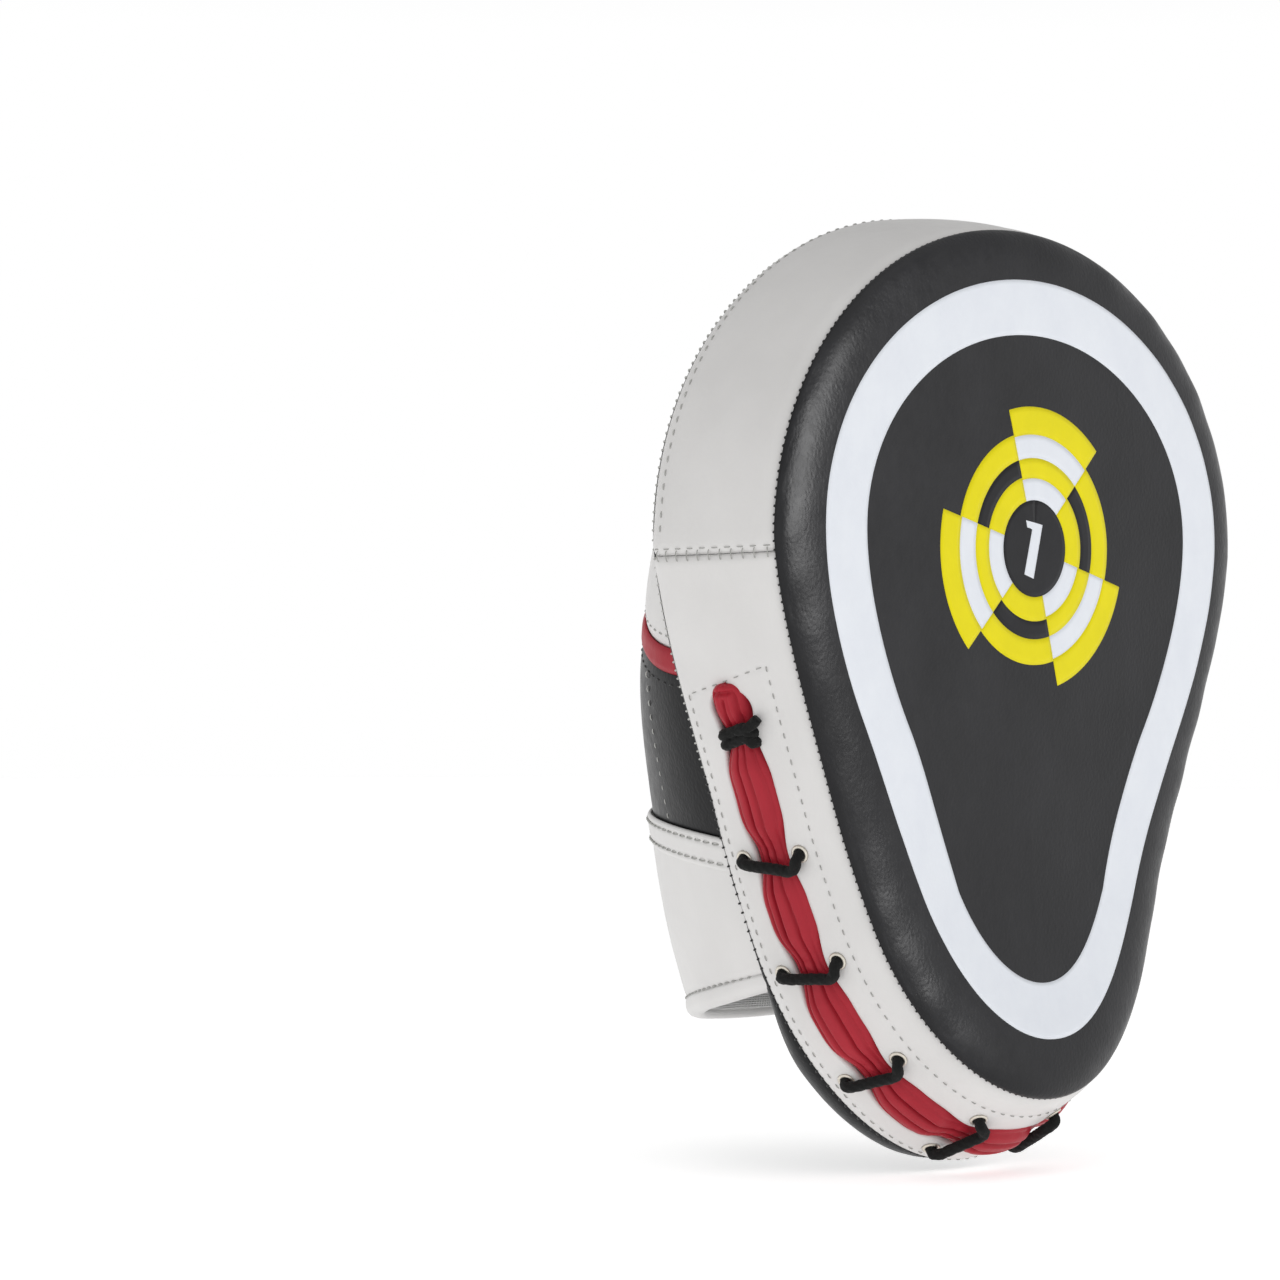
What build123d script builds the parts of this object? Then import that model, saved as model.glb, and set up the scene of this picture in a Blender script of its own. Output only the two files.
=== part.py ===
"""Curved boxing focus mitt with a laced edge, a hand hood, a wrist cuff and a peel-off wrist strap.

Millimetres.  +Z is up along the forearm and fingers, the striking face looks along -Y, and the
origin is the middle of the palm side of the pad, where the wearer's palm rests.  The pad is a
stack of foam layers in a sewn cover.  "Depth" runs from the front seam of the pad to its back,
square to the curved face, and "inset" is how far a shape lies inside the pad's outer skin.
"""
import os
from math import cos, hypot, pi, sin

from build123d import *

# Driving dimensions of the pad
HALF_WIDTH = 108.5        # half width of the front seam at its widest level
WIDEST_V = 27.0           # height of that level, where the wall's cross seam is
TOP_V = 125.0             # top of the front seam
BOTTOM_V = -145.0         # bottom of the front seam, measured along the curved face
WALL = 47.0               # depth of the pad's wall from front seam to back seam
KNEE = -52.0              # below this height the pad curves forward
BEND = 250.0              # radius of that curve, at the front seam
CURVE_ANGLE = 0.62        # angle of that curve, in radians, a little more than the pad needs
FLARE = 0.13              # the wall leans outward by this much per millimetre of depth
CROWN = 6.0               # the face stands this far in front of its seam
EDGE_SHARE = 0.9          # share of that rise which the face's slanted edge takes up

# Layers and skins
SKIN = 1.3                # coated leather
GAP = 0.1                 # space left between neighbouring layers
PAD_MARGIN = 5.0          # the hood and cuff are trimmed to the pad this far outside its edge
FOAM_SPLIT_A = 13.5       # depth where the strike foam ends
FOAM_SPLIT_B = 40.4       # depth where the palm foam starts
LACE_CHANNEL = 12.0       # inset of the middle foam, which leaves room for the lace

# Laced slot in the lower wall
SLOT_DEPTH = 27.0         # depth of the slot's middle line
SLOT_HALF = 6.4           # half of the slot's width
SLOT_TOP = -18.0          # height where the slot ends on each side
FACING_HALF = 13.3        # half width of the reinforcement behind the slot
TONGUE_OUT = 2.6          # how far the folded tongue stands out of the wall
LACE_R = 1.6
EYELET_R = 1.75           # inside radius of an eyelet
EYELET_WALL = 0.4
EYELET_LIP = 0.8          # how far the lip stands out round the hole
LIP_T = 0.4
LIP_CLEAR = 0.02          # between the lip and the leather
EYELET_OFFSET = 10.5      # from the slot's middle line to a row of eyelets
SINGLE_AT = (17.0, 51.0, 85.0, 118.0)     # single crossings up each side of the lowest point
DOUBLE_AT = 155.0         # the end crossings are double
DOUBLE_STEP = 3.5         # distance between the two strands of a double crossing
DOUBLE_OFFSET = 9.0       # from the slot's middle line to a double eyelet
LACE_OVER = TONGUE_OUT + 0.2 + LACE_R
LACE_UNDER = -5.6
LACE_TURN = 3.6           # radius of each turn into an eyelet
LACE_TAIL = 18.0          # hidden end of the lace behind the wall
TAIL_DROP = 1.0           # the tail lies this much deeper than the hidden returns

# Hand hood and cuff: (height, half width, depth behind the pad, how far the top closes down)
HOOD_STATIONS = (
    (-130.0, 55.0, 69.5, 0.0),
    (-88.0, 71.0, 74.0, 0.0),
    (-50.0, 84.0, 74.0, 0.0),
    (-8.0, 96.0, 67.0, 0.0),
    (38.0, 97.0, 45.0, 0.15),
    (78.0, 78.0, 21.0, 0.6),
    (102.0, 50.0, 4.5, 1.0),
)
HOOD_ROOT_Y = -18.0       # the hood's sections start inside the pad and are trimmed to it
CUFF_BOTTOM = (-109.0, -0.2)     # height at the pad, and rise per millimetre away from it
CUFF_TOP = (-64.0, 0.137)
HOOD_BOTTOM = -72.0       # the hood's lower edge is tucked under the cuff
CUFF_BAND_H = 11.0
HEM_H = 3.0
HEM_OUT = 0.6             # the hem stands this far out of the cuff
HOOD_FOAM_T = 5.0
LINING_T = 0.8
ARC_CENTRE_Z = -119.0     # centre of the red arc across the hood's back
ARC_INNER = 140.5
ARC_WIDTH = 7.0

# Heel cushion at the bottom of the palm side, and the grip for the palm
HEEL_TOP = -62.0
HEEL_INSET = 4.0
HEEL_RISE = 12.5
GRIP_R = 27.0
GRIP_RISE = 17.0
GRIP_Z = -18.0
GRIP_FULLNESS = 0.6       # handle length of the grip's rounded side

# Wrist strap on the cuff's back
STRAP_Z = -87.0           # middle height
STRAP_H = 36.0
STRAP_HINGE_X = 40.0      # the strap peels away about a vertical line here
ANCHOR_X = 54.0
STRAP_TIP_X = -28.0
HOOK_TIP_X = -24.0
HOOK_ROOT_X = 10.0
LOOP_ROOT_X = 24.0
CUFF_OUT = 1.4            # outside of the cuff, beyond the hood's outer shape
PATCH_T = 1.2
STRAP_T = 1.9
PEEL_GAP = 0.3            # between the hook patch and the loop patch
GLUE_GAP = 0.05           # between the hook patch and the strap
LOOP_MARGIN = 4.0         # the loop patch runs this far past the strap's tip
HOOK_MARGIN = 2.0         # the strap's edge beside the hook patch

FRONT_Y = -WALL - 40.0    # the two planes between which the pad's outline is lofted
BACK_Y = 22.0
FAR = 200.0
ZONE_FRONT = -60.0        # slanted zones start here, in front of the hood and cuff
KAPPA = 0.5523            # handle length of a Bezier quarter ellipse

# Right half of the outline, seen from the front, as four Bezier spans of (across, along) handles
CAP_RISE = TOP_V - WIDEST_V
TOP_POINT = (0.0, TOP_V)
SIDE_POINT = (HALF_WIDTH, WIDEST_V)
SHOULDER = (95.2, -20.0)
TAPER_END = (66.3, -90.0)
LOW_POINT = (0.0, BOTTOM_V)
SPANS = (
    (TOP_POINT, (KAPPA * HALF_WIDTH, TOP_V), (HALF_WIDTH, WIDEST_V + KAPPA * CAP_RISE), SIDE_POINT),
    (SIDE_POINT, (107.6, 13.0), (100.5, -7.0), SHOULDER),
    (SHOULDER, (85.6, -43.3), (75.9, -66.7), TAPER_END),
    (TAPER_END, (53.1, -122.0), (29.0, BOTTOM_V), LOW_POINT),
)
# Outward direction of the outline at each handle, for the flare and for insets
OUTWARD = (
    ((0.0, 1.0), (0.4, 0.92), (0.92, 0.4), (1.0, 0.0)),
    ((1.0, 0.0), (0.99, -0.1), (0.96, -0.28), (0.924, -0.382)),
    ((0.924, -0.382), (0.924, -0.382), (0.924, -0.382), (0.924, -0.382)),
    ((0.924, -0.382), (0.85, -0.53), (0.4, -0.92), (0.0, -1.0)),
)


def bend_angle(along):
    """Angle by which the pad has curved forward at a distance along its face."""
    return max(0.0, (KNEE - along) / BEND)


def place_handle(handle, outward, y, inset):
    """Place one outline handle in the plane at y, square behind its point on the front seam."""
    across, along = handle
    angle = bend_angle(along)
    seam_y = -WALL - BEND * (1.0 - cos(angle))
    seam_z = KNEE - BEND * sin(angle) if angle > 0.0 else along
    depth = (y - seam_y) / cos(angle)
    grow = FLARE * depth - inset
    return (across + outward[0] * grow, seam_z - depth * sin(angle) + outward[1] * grow)


def outline_handles(y, inset):
    """The four right-hand spans of the outline in the plane at y."""
    return [[place_handle(h, o, y, inset) for h, o in zip(span, out)] for span, out in zip(SPANS, OUTWARD)]


def outline_sketch(y, inset):
    """The pad's whole outline as a face in the plane at y."""
    spans = outline_handles(y, inset)
    with BuildSketch(Plane.XZ.offset(-y)) as sketch:
        with BuildLine():
            for span in spans:
                Bezier(*span)
            for span in reversed(spans):
                Bezier(*[(-x, z) for x, z in reversed(span)])
        make_face()
    return sketch.sketch


def pad_prism(inset=0.0):
    """The pad's flared outline as a solid that runs past both faces of the pad."""
    with BuildPart() as prism:
        loft([outline_sketch(FRONT_Y, inset), outline_sketch(BACK_Y, inset)], ruled=True)
    return prism.part


def slab(front, back):
    """The curved slice of space between two depths of the pad."""
    y_front = front - WALL
    y_back = back - WALL
    centre = (-WALL - BEND, KNEE)
    r_front = BEND + front
    r_back = BEND + back

    def on_arc(radius, angle):
        return (centre[0] + radius * cos(angle), centre[1] - radius * sin(angle))

    with BuildPart() as part:
        with BuildSketch(Plane.YZ):
            with BuildLine():
                Line((y_front, FAR), (y_front, KNEE))
                ThreePointArc(*[on_arc(r_front, CURVE_ANGLE * share) for share in (0, 0.5, 1)])
                Line(on_arc(r_front, CURVE_ANGLE), on_arc(r_back, CURVE_ANGLE))
                ThreePointArc(*[on_arc(r_back, CURVE_ANGLE * share) for share in (1, 0.5, 0)])
                Line((y_back, KNEE), (y_back, FAR))
                Line((y_back, FAR), (y_front, FAR))
            make_face()
        extrude(amount=FAR, both=True)
    return part.part


def zone(z_low, z_high, x_low=-FAR, x_high=FAR):
    """A tall block of space between two heights, and between two places across."""
    with BuildPart() as block:
        with BuildSketch(Plane.XY.offset(z_low)):
            with Locations(((x_low + x_high) / 2, 0)):
                Rectangle(x_high - x_low, 2 * FAR)
        extrude(amount=z_high - z_low)
    return block.part


def slanted_zone(low, high, x_low=-FAR, x_high=FAR):
    """A block of space between two edges that may slope away from the pad."""
    def height(edge, y):
        return edge if isinstance(edge, float) else edge[0] + edge[1] * y

    with BuildPart() as block:
        with BuildSketch(Plane.YZ.offset(x_low)):
            with BuildLine():
                Polyline(
                    (ZONE_FRONT, height(low, ZONE_FRONT)),
                    (FAR, height(low, FAR)),
                    (FAR, height(high, FAR)),
                    (ZONE_FRONT, height(high, ZONE_FRONT)),
                    close=True,
                )
            make_face()
        extrude(amount=x_high - x_low)
    return block.part


def shifted(edge, rise):
    """An edge of the cuff moved up by a rise."""
    return (edge[0] + rise, edge[1])


def pad_layer(front, back, inset):
    """One full layer of the pad between two depths."""
    with BuildPart() as layer:
        add(pad_prism(inset))
        add(slab(front, back), mode=Mode.INTERSECT)
    return layer.part


def pad_ring(front, back, inset_out, inset_in):
    """A band round the pad's edge between two depths and two insets."""
    with BuildPart() as ring:
        add(pad_layer(front, back, inset_out))
        add(pad_prism(inset_in), mode=Mode.SUBTRACT)
    return ring.part


def domed_block(inset, rise, back):
    """The front of the pad, standing forward of the front seam with a rounded edge."""
    with BuildPart() as block:
        add(pad_layer(-rise, back, inset))
        front_rim = [e for e in block.edges() if depth_of(e.center()) < -EDGE_SHARE * rise]
        chamfer(front_rim, length=EDGE_SHARE * rise)
    return block.part


def depth_of(point):
    """Depth of a point in the pad, measured from the front seam."""
    if point.Z > KNEE:
        return point.Y + WALL
    return hypot(point.Y + WALL + BEND, point.Z - KNEE) - BEND


def bezier_point(handles, t):
    """Point on a cubic Bezier span."""
    weights = ((1 - t) ** 3, 3 * t * (1 - t) ** 2, 3 * t * t * (1 - t), t ** 3)
    across = sum(w * h[0] for w, h in zip(weights, handles))
    along = sum(w * h[1] for w, h in zip(weights, handles))
    return across, along


def wall_point(span, t, depth):
    """Point of the pad's outer wall, right side, at a place on the outline and a depth."""
    front = bezier_point(outline_handles(FRONT_Y, 0.0)[span], t)
    back = bezier_point(outline_handles(BACK_Y, 0.0)[span], t)
    low, high = 0.0, 1.0
    for _ in range(40):
        share = (low + high) / 2
        point = Vector(
            front[0] + share * (back[0] - front[0]),
            FRONT_Y + share * (BACK_Y - FRONT_Y),
            front[1] + share * (back[1] - front[1]),
        )
        if depth_of(point) < depth:
            low = share
        else:
            high = share
    return point


def wall_walk(steps=60):
    """Places along the slot's middle line from the lowest point up the right side."""
    places = []
    length = 0.0
    previous = None
    for span in (3, 2, 1):
        for step in range(steps):
            t = 1.0 - step / steps
            point = wall_point(span, t, SLOT_DEPTH)
            if previous is not None:
                length += (point - previous).length
            places.append((length, span, t))
            previous = point
    return places


WALK = wall_walk()


def wall_plane(distance, depth):
    """Plane on the wall: origin on the skin, X upward along the wall, Z out of it.

    distance runs from the lowest point, positive up the right side and negative up the left.
    """
    above = next(i for i, place in enumerate(WALK) if place[0] >= abs(distance) and i > 0)
    before = WALK[above - 1]
    after = WALK[above]
    if before[1] != after[1]:
        before = (before[0], after[1], 1.0)
    share = (abs(distance) - before[0]) / (after[0] - before[0])
    t = before[2] + share * (after[2] - before[2])
    span = after[1]
    nudge = 0.01
    origin = wall_point(span, t, depth)
    upward = wall_point(span, max(0.0, t - nudge), depth) - wall_point(span, min(1.0, t + nudge), depth)
    backward = wall_point(span, t, depth + 1.0) - wall_point(span, t, depth - 1.0)
    outward = backward.cross(upward).normalized()
    if distance < 0:
        origin = Vector(-origin.X, origin.Y, origin.Z)
        upward = Vector(-upward.X, upward.Y, upward.Z)
        outward = Vector(-outward.X, outward.Y, outward.Z)
    return Plane(origin=origin, x_dir=upward.normalized(), z_dir=outward)


def slot_space():
    """The slot that runs round the lower wall, with the tongue in it."""
    with BuildPart() as space:
        add(slab(SLOT_DEPTH - SLOT_HALF, SLOT_DEPTH + SLOT_HALF))
        add(zone(-FAR, SLOT_TOP), mode=Mode.INTERSECT)
    return space.part


def eyelet_discs(radius, low, high):
    """A disc at every eyelet, or a rounded slot at the double ones, between two heights."""
    with BuildPart() as discs:
        for side in (-1, 1):
            for distance in single_crossings:
                with BuildSketch(wall_plane(distance, SLOT_DEPTH + side * EYELET_OFFSET).offset(low)):
                    Circle(radius)
            for distance in (-DOUBLE_AT, DOUBLE_AT):
                with BuildSketch(wall_plane(distance, SLOT_DEPTH + side * DOUBLE_OFFSET).offset(low)):
                    SlotOverall(2 * radius + DOUBLE_STEP, 2 * radius)
        extrude(amount=high - low)
    return discs.part


def ellipse_half(z, half_width, rise, inset):
    """One level section of the hood: a half ellipse that stands on the pad's palm side."""
    across = half_width - inset
    out = rise - inset
    with BuildSketch(Plane.XY.offset(z)) as sketch:
        with BuildLine():
            Line((-across, HOOD_ROOT_Y), (-across, 0))
            Bezier((-across, 0), (-across, KAPPA * out), (-KAPPA * across, out), (0, out))
            Bezier((0, out), (KAPPA * across, out), (across, KAPPA * out), (across, 0))
            Line((across, 0), (across, HOOD_ROOT_Y))
            Line((across, HOOD_ROOT_Y), (-across, HOOD_ROOT_Y))
        make_face()
    return sketch.sketch


def hood_solid(inset):
    """The space inside the hood's and cuff's outer shape, drawn in by an inset."""
    sections = []
    for z, half_width, rise, closing in HOOD_STATIONS:
        level = z - closing * inset
        sections.append(ellipse_half(level, half_width, rise + closing * inset, inset))
    with BuildPart() as solid:
        loft(sections)
    return solid.part


def hood_layer(outer, inner, low, high, x_low=-FAR, x_high=FAR):
    """A layer of the hood or cuff between two insets and two edges, trimmed to the pad."""
    with BuildPart() as layer:
        add(hood_solid(outer))
        add(hood_solid(inner), mode=Mode.SUBTRACT)
        add(slanted_zone(low, high, x_low, x_high), mode=Mode.INTERSECT)
        add(pad_space, mode=Mode.SUBTRACT)
    return layer.part


def arc_space(radius):
    """A round column behind the pad whose top is the arc across the hood's back."""
    with BuildPart() as column:
        with BuildSketch(Plane.XZ.offset(-FAR)):
            with Locations((0, ARC_CENTRE_Z)):
                Circle(radius)
        extrude(amount=2 * FAR)
    return column.part


def heel_block(inset, rise, z_high):
    """The heel cushion's shape behind the pad."""
    with BuildPart() as block:
        add(pad_layer(WALL + GAP, WALL + rise, inset))
        add(zone(-FAR, z_high), mode=Mode.INTERSECT)
    return block.part


def lace_point(distance, across, height):
    """Point of the lace's middle line, from its place on the wall and its height over the skin."""
    place = wall_plane(distance, SLOT_DEPTH + across)
    return place.origin + place.z_dir * height


def lace_route():
    """The lace from its hidden tail on the left, over and under the slot, to the tail on the right."""
    half_double = DOUBLE_STEP / 2
    outer = DOUBLE_AT + half_double
    inner = DOUBLE_AT - half_double
    tail = outer + LACE_TAIL
    points = [lace_point(-tail, 0.0, LACE_UNDER - TAIL_DROP)]
    for distance in [-outer, -inner] + single_crossings + [inner, outer]:
        offset = EYELET_OFFSET if distance in single_crossings else DOUBLE_OFFSET
        points.append(lace_point(distance, offset, LACE_UNDER))
        points.append(lace_point(distance, offset, LACE_OVER))
        points.append(lace_point(distance, -offset, LACE_OVER))
        points.append(lace_point(distance, -offset, LACE_UNDER))
    points.append(lace_point(tail, 0.0, LACE_UNDER - TAIL_DROP))
    return points


def save(part, name):
    """Label one finished piece and write it."""
    part.label = name
    export_step(part, f"parts/{name}.step")


os.makedirs("parts", exist_ok=True)

# Single crossings of the lace, from the top of the left side round the bottom to the right
single_crossings = [-distance for distance in reversed(SINGLE_AT)] + list(SINGLE_AT)

# The pad's own space, which the hood, the cuff and the heel cushion are trimmed to
pad_space = pad_layer(-CROWN, WALL + GAP, -PAD_MARGIN)

# Foam core ------------------------------------------------------------------------------------
with BuildPart() as strike_foam:
    add(domed_block(SKIN + GAP, CROWN - SKIN - GAP, FOAM_SPLIT_A))
save(strike_foam.part, "strike_foam")

with BuildPart() as shock_foam:
    add(pad_layer(FOAM_SPLIT_A + GAP, FOAM_SPLIT_B, LACE_CHANNEL))
save(shock_foam.part, "shock_foam")

with BuildPart() as palm_foam:
    add(pad_layer(FOAM_SPLIT_B + GAP, WALL - SKIN - GAP, SKIN + GAP))
save(palm_foam.part, "palm_foam")

# Cover ----------------------------------------------------------------------------------------
with BuildPart() as face_cover:
    add(domed_block(0.0, CROWN, -GAP))
    add(domed_block(SKIN, CROWN - SKIN, FOAM_SPLIT_A), mode=Mode.SUBTRACT)
save(face_cover.part, "face_cover")

with BuildPart() as wall_upper:
    add(pad_ring(0.0, WALL, 0.0, SKIN))
    add(zone(WIDEST_V + GAP, FAR), mode=Mode.INTERSECT)
save(wall_upper.part, "wall_upper")

with BuildPart() as wall_lower:
    add(pad_ring(0.0, WALL, 0.0, SKIN))
    add(zone(-FAR, WIDEST_V - GAP), mode=Mode.INTERSECT)
    add(slot_space(), mode=Mode.SUBTRACT)
    add(eyelet_discs(EYELET_R + EYELET_WALL, -2 * SKIN, SKIN), mode=Mode.SUBTRACT)
save(wall_lower.part, "wall_lower")

with BuildPart() as slot_facing:
    add(pad_ring(SLOT_DEPTH - FACING_HALF, SLOT_DEPTH + FACING_HALF, SKIN + GAP, 2 * SKIN))
    add(zone(-FAR, SLOT_TOP + FACING_HALF - SLOT_HALF), mode=Mode.INTERSECT)
    add(slot_space(), mode=Mode.SUBTRACT)
    add(eyelet_discs(EYELET_R + EYELET_WALL, -3 * SKIN, SKIN), mode=Mode.SUBTRACT)
save(slot_facing.part, "slot_facing")

with BuildPart() as back_cover:
    add(pad_layer(WALL - SKIN, WALL, SKIN + GAP))
save(back_cover.part, "back_cover")

# Laced tongue ---------------------------------------------------------------------------------
with BuildPart() as tongue:
    add(pad_prism(-TONGUE_OUT))
    add(pad_prism(2 * SKIN), mode=Mode.SUBTRACT)
    add(slab(SLOT_DEPTH - SLOT_HALF + GAP, SLOT_DEPTH + SLOT_HALF - GAP), mode=Mode.INTERSECT)
    add(zone(-FAR, SLOT_TOP - GAP), mode=Mode.INTERSECT)
save(tongue.part, "tongue")

with BuildPart() as eyelets:
    add(eyelet_discs(EYELET_R + EYELET_LIP, LIP_CLEAR, LIP_T))
    add(eyelet_discs(EYELET_R + EYELET_WALL, -2 * SKIN, LIP_T))
    add(eyelet_discs(EYELET_R, -3 * SKIN, 2 * LIP_T), mode=Mode.SUBTRACT)
save(eyelets.part, "eyelets")

with BuildPart() as lace:
    with BuildLine() as lace_line:
        FilletPolyline(*lace_route(), radius=LACE_TURN)
    with BuildSketch(Plane(origin=lace_line.line @ 0, z_dir=lace_line.line % 0)):
        Circle(LACE_R)
    sweep()
save(lace.part, "lace")
lace_length = sum(edge.length for edge in lace_line.line.edges())
print(f"lace length {lace_length:.0f} turn radius {LACE_TURN}")
print(f"lace volume {lace.part.volume:.0f} section times length {pi * LACE_R**2 * lace_length:.0f}")

# Hand hood ------------------------------------------------------------------------------------
with BuildPart() as hood_lower:
    add(hood_layer(0.0, SKIN, HOOD_BOTTOM, FAR))
    add(arc_space(ARC_INNER), mode=Mode.INTERSECT)
save(hood_lower.part, "hood_lower")

with BuildPart() as hood_arc:
    add(hood_layer(0.0, SKIN, HOOD_BOTTOM, FAR))
    add(arc_space(ARC_INNER + ARC_WIDTH), mode=Mode.INTERSECT)
    add(arc_space(ARC_INNER + GAP), mode=Mode.SUBTRACT)
save(hood_arc.part, "hood_arc")

with BuildPart() as hood_upper:
    add(hood_layer(0.0, SKIN, HOOD_BOTTOM, FAR))
    add(arc_space(ARC_INNER + ARC_WIDTH + GAP), mode=Mode.SUBTRACT)
save(hood_upper.part, "hood_upper")

FOAM_OUT = SKIN + GAP
FOAM_IN = FOAM_OUT + HOOD_FOAM_T
LINING_OUT = FOAM_IN + GAP
LINING_IN = LINING_OUT + LINING_T

with BuildPart() as hood_foam:
    add(hood_layer(FOAM_OUT, FOAM_IN, HOOD_BOTTOM, FAR))
save(hood_foam.part, "hood_foam")

with BuildPart() as pocket_lining:
    add(hood_layer(LINING_OUT, LINING_IN, shifted(CUFF_BOTTOM, GAP), FAR))
save(pocket_lining.part, "pocket_lining")

# Wrist cuff -----------------------------------------------------------------------------------
with BuildPart() as cuff:
    add(hood_layer(-CUFF_OUT, -GAP, shifted(CUFF_BOTTOM, GAP), CUFF_TOP))
save(cuff.part, "cuff")

with BuildPart() as cuff_foam:
    add(hood_layer(0.0, FOAM_IN, shifted(CUFF_BOTTOM, GAP), HOOD_BOTTOM - GAP))
save(cuff_foam.part, "cuff_foam")

with BuildPart() as cuff_band:
    add(hood_layer(-CUFF_OUT - PATCH_T, -CUFF_OUT - GAP, shifted(CUFF_TOP, -CUFF_BAND_H), CUFF_TOP))
save(cuff_band.part, "cuff_band")

with BuildPart() as cuff_hem:
    add(hood_layer(-CUFF_OUT - HEM_OUT, LINING_IN, shifted(CUFF_BOTTOM, -HEM_H), CUFF_BOTTOM))
save(cuff_hem.part, "cuff_hem")

# Heel cushion and palm grip -------------------------------------------------------------------
with BuildPart() as cuff_space:
    add(hood_solid(-CUFF_OUT - PATCH_T - GAP))
    add(hood_solid(LINING_IN + GAP), mode=Mode.SUBTRACT)
    add(slanted_zone(shifted(CUFF_BOTTOM, -HEM_H - GAP), FAR), mode=Mode.INTERSECT)

with BuildPart() as heel_cover:
    add(heel_block(HEEL_INSET, HEEL_RISE, HEEL_TOP))
    add(heel_block(HEEL_INSET + SKIN, HEEL_RISE - SKIN, HEEL_TOP - SKIN), mode=Mode.SUBTRACT)
    add(cuff_space.part, mode=Mode.SUBTRACT)
save(heel_cover.part, "heel_cover")

with BuildPart() as heel_foam:
    add(heel_block(HEEL_INSET + SKIN + GAP, HEEL_RISE - SKIN - GAP, HEEL_TOP - SKIN - GAP))
    add(cuff_space.part, mode=Mode.SUBTRACT)
save(heel_foam.part, "heel_foam")

with BuildPart() as palm_grip:
    with BuildSketch(Plane.XY.offset(GRIP_Z)):
        with BuildLine():
            Line((0, GAP), (GRIP_R, GAP))
            side_handle = (GRIP_R, GRIP_RISE * GRIP_FULLNESS)
            top_handle = (GRIP_R * GRIP_FULLNESS, GRIP_RISE)
            Bezier((GRIP_R, GAP), side_handle, top_handle, (0, GRIP_RISE))
            Line((0, GRIP_RISE), (0, GAP))
        make_face()
    revolve(axis=Axis((0, 0, GRIP_Z), (0, 1, 0)))
save(palm_grip.part, "palm_grip")

# Wrist strap ----------------------------------------------------------------------------------
STRAP_LOW = STRAP_Z - STRAP_H / 2
STRAP_HIGH = STRAP_Z + STRAP_H / 2
LOOP_OUT = -CUFF_OUT - GAP - PATCH_T
HOOK_OUT = LOOP_OUT - PEEL_GAP - PATCH_T
STRAP_IN = HOOK_OUT - GLUE_GAP
STRAP_OUT = STRAP_IN - STRAP_T

with BuildPart() as loop_patch:
    add(hood_layer(LOOP_OUT, -CUFF_OUT - GAP, STRAP_LOW, STRAP_HIGH, STRAP_TIP_X - LOOP_MARGIN, LOOP_ROOT_X))
save(loop_patch.part, "loop_patch")

with BuildPart() as strap_anchor:
    add(hood_layer(STRAP_OUT, -CUFF_OUT - GAP, STRAP_LOW, STRAP_HIGH, STRAP_HINGE_X + PEEL_GAP, ANCHOR_X))
save(strap_anchor.part, "strap_anchor")

with BuildPart() as wrist_strap:
    add(hood_layer(STRAP_OUT, STRAP_IN, STRAP_LOW, STRAP_HIGH, STRAP_TIP_X, STRAP_HINGE_X))
save(wrist_strap.part, "wrist_strap")

with BuildPart() as hook_patch:
    hook_low = STRAP_LOW + HOOK_MARGIN
    hook_high = STRAP_HIGH - HOOK_MARGIN
    add(hood_layer(HOOK_OUT, HOOK_OUT + PATCH_T, hook_low, hook_high, HOOK_TIP_X, HOOK_ROOT_X))
save(hook_patch.part, "hook_patch")

hinge_edge = wrist_strap.part.vertices().sort_by(Axis.X)[-4:].sort_by(Axis.Y)[-1]
print(f"strap hinge line at x {hinge_edge.X:.2f} y {hinge_edge.Y:.2f}")
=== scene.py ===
"""A curved boxing focus mitt: padded face with a printed target, laced edge, hand hood and wrist cuff."""

import math

import bmesh
import bpy
import numpy as np
from mathutils import Matrix, Vector


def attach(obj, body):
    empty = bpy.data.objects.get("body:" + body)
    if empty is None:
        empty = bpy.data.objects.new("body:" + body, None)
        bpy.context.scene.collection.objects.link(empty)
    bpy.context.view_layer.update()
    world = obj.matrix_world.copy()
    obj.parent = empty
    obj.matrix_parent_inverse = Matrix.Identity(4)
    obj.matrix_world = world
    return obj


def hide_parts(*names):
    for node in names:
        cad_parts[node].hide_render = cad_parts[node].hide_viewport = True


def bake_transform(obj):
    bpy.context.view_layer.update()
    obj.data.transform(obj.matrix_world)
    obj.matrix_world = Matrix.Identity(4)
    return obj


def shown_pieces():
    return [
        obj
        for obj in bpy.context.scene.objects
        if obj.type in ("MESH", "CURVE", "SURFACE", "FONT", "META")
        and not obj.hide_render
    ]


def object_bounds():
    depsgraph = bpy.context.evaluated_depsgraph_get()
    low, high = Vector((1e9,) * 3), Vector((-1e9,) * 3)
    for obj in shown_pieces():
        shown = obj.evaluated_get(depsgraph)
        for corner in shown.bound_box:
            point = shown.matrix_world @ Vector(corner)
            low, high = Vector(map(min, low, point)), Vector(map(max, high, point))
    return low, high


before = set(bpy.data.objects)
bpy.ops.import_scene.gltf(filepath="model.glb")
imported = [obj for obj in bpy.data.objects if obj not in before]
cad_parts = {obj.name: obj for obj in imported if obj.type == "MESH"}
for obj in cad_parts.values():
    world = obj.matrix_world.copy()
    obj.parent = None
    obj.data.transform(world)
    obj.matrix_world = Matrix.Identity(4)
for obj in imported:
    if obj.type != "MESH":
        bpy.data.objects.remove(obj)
CAD_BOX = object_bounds()

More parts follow.
